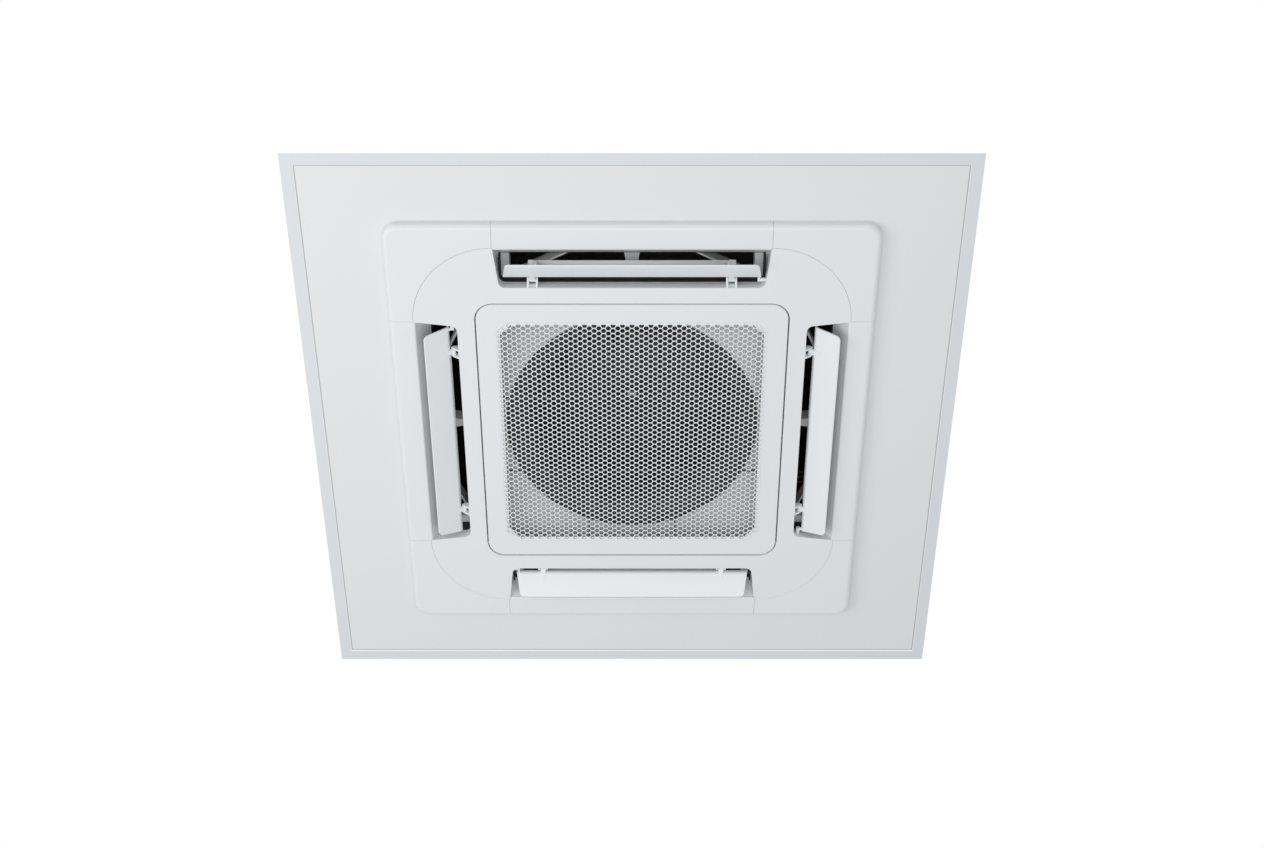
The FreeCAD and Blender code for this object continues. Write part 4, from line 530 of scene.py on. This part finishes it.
@dataclass
class PerforatedSheet:
    """The suction sheet with cut corners and staggered six-sided holes."""

    paint: Paint
    column_pitch: float = 9.26 * MM
    row_pitch: float = 11.6 * MM
    stagger: float = 0.5
    hole_sides: int = 6
    hole_radius: float = 5.4 * MM
    hole_round: float = 1.2 * MM
    hole_round_points: int = 1
    thickness: float = 0.9 * MM
    open_half_x: float = 260.0 * MM
    open_half_y: float = 256.0 * MM
    plate_corner: float = 22.0 * MM
    holes_corner: float = 8.0 * MM
    cutter_share: float = 3.0

    def build(self) -> bpy.types.Object:
        """Cuts the holes in a plate of the node's outline.

        Returns:
            The sheet, as one plain mesh.
        """
        low, high = (Vector(corner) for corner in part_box("perforated_sheet"))
        high.z = low.z + self.thickness
        tree, source, sink = node_tree("perforations", {
            "Thickness": ("NodeSocketFloat", self.thickness), "Middle": ("NodeSocketVector", (0.0, 0.0, 0.0)),
            "Column pitch": ("NodeSocketFloat", self.column_pitch), "Row pitch": ("NodeSocketFloat", self.row_pitch),
            "Columns": ("NodeSocketInt", 1), "Rows": ("NodeSocketInt", 1),
            "Hole radius": ("NodeSocketFloat", self.hole_radius), "Hole round": ("NodeSocketFloat", self.hole_round),
            "Corner": ("NodeSocketFloat", self.holes_corner), "Material": ("NodeSocketMaterial", None),
        })
        self._fill(Graph(tree), source, sink)
        piece = finished_mesh("perforated_plate", tree, {
            "Middle": (low + high) / 2.0,
            "Columns": 2 * int(self.open_half_x / self.column_pitch) + 1,
            "Rows": 2 * int(self.open_half_y / self.row_pitch) + 1,
            "Material": self.paint["sheet_white"],
        }, self._plate(low, high))
        settle(piece, "grille", "sheet_white", "perforated_sheet")
        return piece

    def _plate(self, low: Vector, high: Vector) -> bpy.types.Mesh:
        """The sheet without its holes.

        Args:
            low: The node's lowest corner.
            high: Its highest corner.

        Returns:
            A closed plate with cut corners.
        """
        cut = self.plate_corner
        outline = [
            (low.x + cut, low.y), (high.x - cut, low.y), (high.x, low.y + cut), (high.x, high.y - cut),
            (high.x - cut, high.y), (low.x + cut, high.y), (low.x, high.y - cut), (low.x, low.y + cut),
        ]
        shape = bmesh.new()
        floor = shape.faces.new([shape.verts.new((x, y, low.z)) for x, y in outline])
        raised = bmesh.ops.extrude_face_region(shape, geom=[floor], use_keep_orig=True)
        tops = [item for item in raised["geom"] if isinstance(item, bmesh.types.BMVert)]
        bmesh.ops.translate(shape, verts=tops, vec=(0.0, 0.0, high.z - low.z))
        bmesh.ops.recalc_face_normals(shape, faces=shape.faces)
        return kept_mesh("plain_plate", shape)

    def _fill(self, graph: Graph, source: Node, sink: Node) -> None:
        """Cuts a prism at every point of the lattice from the plate.

        Args:
            graph: The tree.
            source: Its input node.
            sink: Its output node.
        """
        given = source.outputs
        spread = graph.add("GeometryNodeInstanceOnPoints", {
            "Points": self._lattice(graph, given), "Instance": self._cutter(graph, given)})
        moved = graph.add("GeometryNodeTransform", {
            "Geometry": spread.outputs["Instances"], "Translation": given["Middle"]})
        cutters = graph.add("GeometryNodeRealizeInstances", {"Geometry": moved.outputs["Geometry"]})
        holed = graph.cut(given["Start"], cutters.outputs["Geometry"])
        graph.link(graph.painted(holed, given["Material"]), sink.inputs["Geometry"])

    def _lattice(self, graph: Graph, given: bpy.types.NodeOutputs) -> Socket:
        """The holes' places: every other column is moved by half a row, and the corners are left out.

        Args:
            graph: The tree.
            given: Its named inputs.

        Returns:
            The points.
        """
        wide = graph.sum("MULTIPLY", graph.sum("SUBTRACT", given["Columns"], 1.0), given["Column pitch"])
        deep = graph.sum("MULTIPLY", graph.sum("SUBTRACT", given["Rows"], 1.0), given["Row pitch"])
        grid = graph.add("GeometryNodeMeshGrid", {
            "Size X": wide, "Size Y": deep, "Vertices X": given["Columns"], "Vertices Y": given["Rows"]})
        index = graph.add("GeometryNodeInputIndex").outputs[0]
        column = graph.sum("FLOOR", graph.sum("DIVIDE", index, given["Rows"]))
        odd = graph.sum("MODULO", column, 2.0)
        shift = graph.sum("MULTIPLY_ADD", odd, self.stagger, -self.stagger / 2.0)
        staggered = graph.add("GeometryNodeSetPosition", {
            "Geometry": grid.outputs["Mesh"],
            "Offset": graph.vector(y=graph.sum("MULTIPLY", shift, given["Row pitch"]))})
        place = graph.add("ShaderNodeSeparateXYZ", {"Vector": graph.add("GeometryNodeInputPosition").outputs[0]})
        reach = graph.sum("ADD", graph.sum("ABSOLUTE", place.outputs["X"]), graph.sum("ABSOLUTE", place.outputs["Y"]))
        limit = graph.sum("SUBTRACT", graph.sum("MULTIPLY", graph.sum("ADD", wide, deep), 0.5), given["Corner"])
        trimmed = graph.add("GeometryNodeDeleteGeometry", {
            "Geometry": staggered.outputs[0], "Selection": graph.sum("GREATER_THAN", reach, limit)})
        return trimmed.outputs[0]

    def _cutter(self, graph: Graph, given: bpy.types.NodeOutputs) -> Socket:
        """The closed prism that cuts one hole.

        Args:
            graph: The tree.
            given: Its named inputs.

        Returns:
            The prism, about the origin.
        """
        outline = graph.add("GeometryNodeCurvePrimitiveCircle", {
            "Resolution": self.hole_sides, "Radius": given["Hole radius"]})
        rounded = graph.add("GeometryNodeFilletCurve", {
            "Curve": outline.outputs["Curve"], "Count": self.hole_round_points, "Radius": given["Hole round"]},
            mode="POLY")
        face = graph.add("GeometryNodeFillCurve", {"Curve": rounded.outputs["Curve"]}, mode="NGONS")
        depth = graph.sum("MULTIPLY", given["Thickness"], self.cutter_share)
        walls = graph.add("GeometryNodeExtrudeMesh", {
            "Mesh": face.outputs["Mesh"], "Offset": graph.vector(z=1.0), "Offset Scale": depth, "Individual": False})
        floor = graph.add("GeometryNodeFlipFaces", {"Mesh": face.outputs["Mesh"]})
        closed = graph.add("GeometryNodeMergeByDistance", {
            "Geometry": graph.joined(walls.outputs["Mesh"], floor.outputs["Mesh"])})
        centred = graph.add("GeometryNodeTransform", {
            "Geometry": closed.outputs["Geometry"],
            "Translation": graph.vector(z=graph.sum("MULTIPLY", depth, -0.5))})
        return centred.outputs["Geometry"]


@dataclass
class FilterNet:
    """The fine net on the filter's frame."""

    paint: Paint
    pitch: float = 3.6 * MM
    thread: float = 0.14 * MM

    def build(self) -> bpy.types.Object:
        """Lays threads both ways across the node's box.

        Returns:
            The net, as one plain mesh.
        """
        low, high = (Vector(corner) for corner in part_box("filter_net"))
        length = high.x - low.x - self.thread
        tree, source, sink = node_tree("net", {
            "Length": ("NodeSocketFloat", length), "Thread": ("NodeSocketFloat", self.thread),
            "Threads": ("NodeSocketInt", 2), "Middle": ("NodeSocketVector", (0.0, 0.0, 0.0)),
            "Material": ("NodeSocketMaterial", None),
        })
        self._fill(Graph(tree), source, sink)
        piece = finished_mesh("filter_mesh", tree, {
            "Threads": int(length / self.pitch), "Middle": (low + high) / 2.0, "Material": self.paint["net_dark"],
        })
        settle(piece, "grille", "net_dark", "filter_net")
        return piece

    @staticmethod
    def _fill(graph: Graph, source: Node, sink: Node) -> None:
        """Sets one row of threads on another that is turned square to it.

        Args:
            graph: The tree.
            source: Its input node.
            sink: Its output node.
        """
        given = source.outputs
        thread = graph.add("GeometryNodeMeshCube", {
            "Size": graph.vector(given["Thread"], given["Length"], given["Thread"])})
        half = graph.sum("MULTIPLY", given["Length"], 0.5)
        row = graph.add("GeometryNodeMeshLine", {
            "Count": given["Threads"], "Start Location": graph.vector(x=graph.sum("MULTIPLY", half, -1.0)),
            "Offset": graph.vector(x=half)}, mode="END_POINTS")
        spread = graph.add("GeometryNodeInstanceOnPoints", {
            "Points": row.outputs["Mesh"], "Instance": thread.outputs["Mesh"]})
        across = graph.add("GeometryNodeTransform", {
            "Geometry": spread.outputs["Instances"], "Rotation": (0.0, 0.0, QUARTER_TURN)})
        both = graph.joined(spread.outputs["Instances"], across.outputs["Geometry"])
        moved = graph.add("GeometryNodeTransform", {"Geometry": both, "Translation": given["Middle"]})
        graph.link(graph.painted(moved.outputs["Geometry"], given["Material"]), sink.inputs["Geometry"])


@dataclass
class RoofScrews:
    """The pan-head screws round the roof sheet."""

    paint: Paint
    head_sides: int = 16
    head_radius: float = 4.0 * MM
    crown_radius: float = 2.6 * MM
    slot_width: float = 0.9 * MM
    slot_length: float = 4.6 * MM
    slot_depth: float = 1.2 * MM

    def build(self) -> bpy.types.Object:
        """Sets a screw at each of the node's places.

        Returns:
            The screws, as one plain mesh.
        """
        low, high = (Vector(corner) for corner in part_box("casing_screws"))
        tree, source, sink = node_tree("pan_heads", {
            "Height": ("NodeSocketFloat", high.z - low.z), "Head radius": ("NodeSocketFloat", self.head_radius),
            "Crown radius": ("NodeSocketFloat", self.crown_radius), "Slot width": ("NodeSocketFloat", self.slot_width),
            "Slot length": ("NodeSocketFloat", self.slot_length), "Slot depth": ("NodeSocketFloat", self.slot_depth),
            "Material": ("NodeSocketMaterial", None),
        })
        self._fill(Graph(tree), source, sink)
        seats = bpy.data.meshes.new("screw_seats")
        seats.from_pydata(self._places(high.x - self.head_radius, low.z), [], [])
        piece = finished_mesh("pan_head_screws", tree, {"Material": self.paint["zinc"]}, seats)
        settle(piece, "unit", "zinc", "casing_screws")
        return piece

    @staticmethod
    def _places(reach: float, z: float) -> list[Point]:
        """Two seats on each of the casing's four sides.

        Args:
            reach: How far the seats are from the middle.
            z: Their height.

        Returns:
            The eight seats.
        """
        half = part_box("casing")[1][0] / 2.0
        places = []
        for side in (-reach, reach):
            for along in (-half, half):
                places += [(side, along, z), (along, side, z)]
        return places

    def _fill(self, graph: Graph, source: Node, sink: Node) -> None:
        """Cuts a cross in a tapered head and sets it at every point.

        Args:
            graph: The tree.
            source: Its input node.
            sink: Its output node.
        """
        given = source.outputs
        head = graph.add("GeometryNodeMeshCone", {
            "Vertices": self.head_sides, "Radius Top": given["Crown radius"], "Radius Bottom": given["Head radius"],
            "Depth": given["Height"]})
        bar = graph.add("GeometryNodeMeshCube", {
            "Size": graph.vector(given["Slot length"], given["Slot width"], given["Slot depth"])})
        slotted = head.outputs["Mesh"]
        for angle in (0.0, QUARTER_TURN):
            cutter = graph.add("GeometryNodeTransform", {
                "Geometry": bar.outputs["Mesh"], "Translation": graph.vector(z=given["Height"]),
                "Rotation": (0.0, 0.0, angle)})
            slotted = graph.cut(slotted, cutter.outputs["Geometry"])
        spread = graph.add("GeometryNodeInstanceOnPoints", {"Points": given["Start"], "Instance": slotted})
        graph.link(graph.painted(spread.outputs["Instances"], given["Material"]), sink.inputs["Geometry"])


SIDES = ("front", "right", "back", "left")
CORNERS = ("front_right", "back_right", "back_left", "front_left")
EASED_EDGES = {
    "panel_frame": 0.4 * MM, "inlet_frame": 0.4 * MM, "grille_frame": 0.5 * MM, "flap_clips": 0.4 * MM,
    "drain_pan": 1.5 * MM, "outlet_ribs": 1.0 * MM, "bell_mouth": 0.5 * MM, "fan_hub": 0.5 * MM, "casing": 0.4 * MM,
    "top_plate": 0.5 * MM, "hanger_brackets": 0.5 * MM, "control_box": 0.4 * MM, "control_cover": 0.5 * MM,
    "pipe_plate": 0.3 * MM, "drain_socket": 0.8 * MM, "flare_unions": 0.6 * MM, "filter_frame": 0.4 * MM,
    "grille_latch_left": 0.5 * MM, "grille_latch_right": 0.5 * MM,
    **{"outlet_trim_" + side: 0.5 * MM for side in SIDES},
    **{"flap_" + side: 0.5 * MM for side in SIDES},
    **{"corner_cover_" + corner: 0.3 * MM for corner in CORNERS},
}


@dataclass
class EasedNodes:
    """Copies of moulded and folded nodes with their edges eased, as tools and folds leave them."""

    paint: Paint
    merge: float = 1e-6
    flat: float = math.radians(1.0)
    crease: float = math.radians(32.0)
    segments: int = 2

    def build(self, widths: dict[str, float]) -> None:
        """Makes one copy of each node.

        Args:
            widths: How wide the eased edge is on each node.
        """
        record = frame["record"]
        slots = {row["node"]: row["material_slot"] for row in record["subparts"]}
        bodies = {node: body for body, nodes in record["behaviour"]["bodies"].items() for node in nodes}
        for node, width in widths.items():
            piece = self._copy(node, width)
            piece.data.materials.clear()
            piece.data.materials.append(self.paint[slots[node]])
            settle(piece, bodies[node], slots[node], node)

    def _copy(self, node: str, width: float) -> bpy.types.Object:
        """Copies a node, joins its flat faces and bevels what is left.

        Args:
            node: The node's name.
            width: How wide the eased edge is.

        Returns:
            The copy, as a plain mesh.
        """
        shape = bmesh.new()
        shape.from_mesh(frame["nodes"][node].data)
        bmesh.ops.remove_doubles(shape, verts=shape.verts, dist=self.merge)
        bmesh.ops.dissolve_limit(shape, angle_limit=self.flat, verts=shape.verts, edges=shape.edges)
        for face in shape.faces:
            face.smooth = True
        for edge in shape.edges:
            edge.smooth = edge.calc_face_angle(0.0) < self.crease
        holder = placed(node + "_plain", kept_mesh(node + "_plain", shape))
        bevel = holder.modifiers.new("edge", "BEVEL")
        bevel.width = width
        bevel.segments = self.segments
        bevel.limit_method = "ANGLE"
        bevel.angle_limit = self.crease
        holder.modifiers.new("shading", "WEIGHTED_NORMAL").keep_sharp = True
        return plain_mesh(node + "_eased", holder)


@dataclass(frozen=True)
class Bead:
    """A straight bead with an oval section, in a flap's own directions."""

    start: float
    end: float
    out: float
    up: float
    radius_out: float
    radius_up: float

    def section(self, steps: int) -> list[tuple[float, float]]:
        """The points of the bead's section.

        Args:
            steps: How many points there are.

        Returns:
            Reach and rise from the flap's axis, once round the oval.
        """
        angles = [2.0 * math.pi * step / steps for step in range(steps)]
        return [(self.out + self.radius_out * math.cos(angle), self.up + self.radius_up * math.sin(angle))
                for angle in angles]


FLAP_TILTS = {
    "flap_front": math.radians(38.0), "flap_right": math.radians(31.0),
    "flap_back": math.radians(34.0), "flap_left": math.radians(31.0),
}


@dataclass
class VaneNoses:
    """The rounded outer edges of the flaps' inner vanes, with an ear at each end."""

    paint: Paint
    steps: int = 24
    nose: Bead = Bead(-186.0 * MM, 186.0 * MM, out=32.6 * MM, up=19.4 * MM, radius_out=3.5 * MM, radius_up=5.1 * MM)
    ear: Bead = Bead(185.0 * MM, 199.0 * MM, out=34.0 * MM, up=14.0 * MM, radius_out=3.4 * MM, radius_up=12.0 * MM)

    def build(self) -> None:
        """Makes one piece for each flap, from the flap's joint and its tilt at rest."""
        for joint in frame["record"]["behaviour"]["joints"]:
            if joint["child"] in FLAP_TILTS:
                self._piece(joint["child"], Vector(joint["pos_m"]), Vector(joint["axis"]))

    def _piece(self, flap: str, pivot: Vector, axis: Vector) -> None:
        """Sweeps the beads along one vane.

        Args:
            flap: The flap's body.
            pivot: A point on the flap's axis, in the middle of its length.
            axis: The axis, about which a positive turn lowers the outer edge.
        """
        outward = Vector((pivot.x, pivot.y, 0.0)).normalized()
        turn = Matrix.Rotation(FLAP_TILTS[flap], 3, axis)
        out, up = turn @ outward, turn @ Vector((0.0, 0.0, 1.0))
        shape = bmesh.new()
        for bead in (self.nose, replace(self.ear, start=-self.ear.end, end=-self.ear.start), self.ear):
            ends = [[shape.verts.new(pivot + axis * along + out * across + up * rise)
                     for across, rise in bead.section(self.steps)] for along in (bead.start, bead.end)]
            for ring in ends:
                shape.faces.new(ring)
            for step in range(self.steps):
                after = (step + 1) % self.steps
                side = shape.faces.new([ends[0][step], ends[0][after], ends[1][after], ends[1][step]])
                side.smooth = True
        bmesh.ops.recalc_face_normals(shape, faces=shape.faces)
        mesh = kept_mesh(flap + "_vane_nose", shape)
        # The noses take the flaps' white, which is lightened as painted light
        mesh.materials.append(self.paint["flap_white"])
        settle(placed(mesh.name, mesh), flap, "flap_white")


@dataclass(frozen=True)
class BoardFinish:
    """A plain finish that faces down and can be seen through from above."""

    name: str
    colour: Colour
    roughness: float

    def material(self) -> bpy.types.Material:
        """Builds the finish as a material.

        Returns:
            The new material.
        """
        made = bpy.data.materials.new(self.name)
        made.use_nodes = True
        nodes = made.node_tree.nodes
        graph = Graph(made.node_tree)
        shader = nodes["Principled BSDF"]
        shader.inputs["Base Color"].default_value = (*self.colour, 1.0)
        shader.inputs["Roughness"].default_value = self.roughness
        clear = graph.add("ShaderNodeBsdfTransparent")
        mix = graph.add("ShaderNodeMixShader", {"Fac": graph.add("ShaderNodeNewGeometry").outputs["Backfacing"]})
        graph.link(shader.outputs[0], mix.inputs[1])
        graph.link(clear.outputs[0], mix.inputs[2])
        graph.link(mix.outputs[0], nodes["Material Output"].inputs["Surface"])
        return made


@dataclass(frozen=True)
class Lamp:
    """A square area lamp, its place and aim measured from the panel's rim or from the origin."""

    name: str
    at: Point
    size: float
    power: float
    aim: Point = (0.0, 0.0, 0.0)
    from_rim: bool = True

    def build(self, rim_z: float) -> None:
        """Hangs the lamp and points it.

        Args:
            rim_z: The height of the panel's rim.
        """
        light = bpy.data.lights.new(self.name, "AREA")
        light.size = self.size
        light.energy = self.power
        base = Vector((0.0, 0.0, rim_z if self.from_rim else 0.0))
        lamp = placed(self.name, light)
        lamp.location = base + Vector(self.at)
        lamp.rotation_euler = (Vector(self.aim) - Vector(self.at)).to_track_quat("-Z", "Y").to_euler()


RING_CORNERS = ((-1, -1), (1, -1), (1, 1), (-1, 1))


@dataclass
class Studio:
    """The board that the panel is fixed to, the lights, the world and the camera."""

    board_half_x: float = 0.653
    board_half_y: float = 0.614
    strip_width: float = 24.0 * MM
    strip_drop: float = 2.5 * MM
    groove_shade_width: float = 2.5 * MM
    opening_half: float = 0.44
    board: BoardFinish = BoardFinish("board", (0.750, 0.772, 0.780), 0.6)
    strip: BoardFinish = BoardFinish("strip", (0.700, 0.730, 0.755), 0.35)
    # Painted shade: a dark grey flat band at the board's height, standing for the shadow that the strip's raised inner
    # edge casts on the board
    groove_shade: BoardFinish = BoardFinish("groove_shade", (0.42, 0.45, 0.47), 0.6)
    # A broad key from the left below, a fill from the near side and one from above for the casing
    lamps: tuple[Lamp, ...] = (
        Lamp("key", (-2.6, -0.9, -2.2), size=2.0, power=34.5),
        Lamp("near_fill", (0.0, -0.9, -2.9), size=2.4, power=27.0),
        Lamp("top_fill", (1.5, 1.6, 2.6), size=2.0, power=40.0, aim=(0.0, 0.0, 0.1), from_rim=False),
    )
    sky_colour: Colour = (0.97, 0.985, 1.0)
    sky_strength: float = 0.54
    rim_z: float = field(default_factory=lambda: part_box("corner_cover_front_left")[1][2])
    camera_back: float = 1.8555
    camera_drop: float = 2.813
    camera_tilt: float = math.radians(33.18)
    lens: float = 46.85
    sensor_width: float = 36.0
    clip_end: float = 50.0

    def build(self) -> None:
        """Sets up everything round the object."""
        self._board()
        for lamp in self.lamps:
            lamp.build(self.rim_z)
        self._world()
        self._camera()

    def _board(self) -> None:
        """A pale board with an opening for the casing, a strip round its edge and a band of painted shade between
        them.
        """
        z = self.rim_z
        outer = (self.board_half_x, self.board_half_y)
        edge = (outer[0] - self.strip_width, outer[1] - self.strip_width)
        inner = (edge[0] - self.groove_shade_width, edge[1] - self.groove_shade_width)
        hole = (self.opening_half, self.opening_half)
        self._ring("ceiling_board", inner, hole, z, self.board)
        # Painted shade: the dark band between the board and the strip
        self._ring("board_groove_shade", edge, inner, z, self.groove_shade)
        self._ring("board_strip", outer, edge, z - self.strip_drop, self.strip)

    @staticmethod
    def _ring(name: str, outer: tuple[float, float], inner: tuple[float, float], z: float,
              finish: BoardFinish) -> bpy.types.Object:
        """A flat square ring that faces down.

        Args:
            name: The ring's name.
            outer: Half its width and depth.
            inner: Half the width and depth of its opening.
            z: Its height.
            finish: Its finish.

        Returns:
            The ring.
        """
        points = [(sx * half[0], sy * half[1], z) for half in (outer, inner) for sx, sy in RING_CORNERS]
        count = len(RING_CORNERS)
        faces = []
        for corner in range(count):
            after = (corner + 1) % count
            faces.append((corner, count + corner, count + after, after))
        mesh = bpy.data.meshes.new(name)
        mesh.from_pydata(points, [], faces)
        mesh.materials.append(finish.material())
        return placed(name, mesh)

    def _world(self) -> None:
        """White behind everything, with a softer light on the object."""
        world = bpy.data.worlds.new("studio")
        bpy.context.scene.world = world
        world.use_nodes = True
        nodes = world.node_tree.nodes
        graph = Graph(world.node_tree)
        soft = nodes["Background"]
        soft.inputs["Color"].default_value = (*self.sky_colour, 1.0)
        soft.inputs["Strength"].default_value = self.sky_strength
        white = graph.add("ShaderNodeBackground", {"Color": (1.0, 1.0, 1.0, 1.0)})
        path = graph.add("ShaderNodeLightPath").outputs
        seen = graph.sum("MAXIMUM", path["Is Camera Ray"], path["Is Transmission Ray"])
        mix = graph.add("ShaderNodeMixShader", {"Fac": graph.sum("MAXIMUM", seen, path["Is Glossy Ray"])})
        graph.link(soft.outputs[0], mix.inputs[1])
        graph.link(white.outputs[0], mix.inputs[2])
        graph.link(mix.outputs[0], nodes["World Output"].inputs["Surface"])

    def _camera(self) -> None:
        """Looks up at the panel from the near side."""
        data = bpy.data.cameras.new("camera")
        data.lens = self.lens
        data.sensor_width = self.sensor_width
        data.clip_end = self.clip_end
        camera = placed("camera", data)
        camera.location = (0.0, -self.camera_back, self.rim_z - self.camera_drop)
        look = Vector((0.0, math.sin(self.camera_tilt), math.cos(self.camera_tilt)))
        camera.rotation_euler = look.to_track_quat("-Z", "Y").to_euler()
        bpy.context.scene.camera = camera


def main() -> None:
    """Builds and dresses every piece in order."""
    logging.basicConfig(level=logging.INFO, format="%(message)s")
    bpy.context.scene.view_settings.view_transform = "Standard"
    paint = Paint()
    paint.dress_nodes()
    EasedNodes(paint).build(EASED_EDGES)
    VaneNoses(paint).build()
    PerforatedSheet(paint).build()
    FilterNet(paint).build()
    RoofScrews(paint).build()
    Studio().build()


if __name__ == "__main__":
    main()
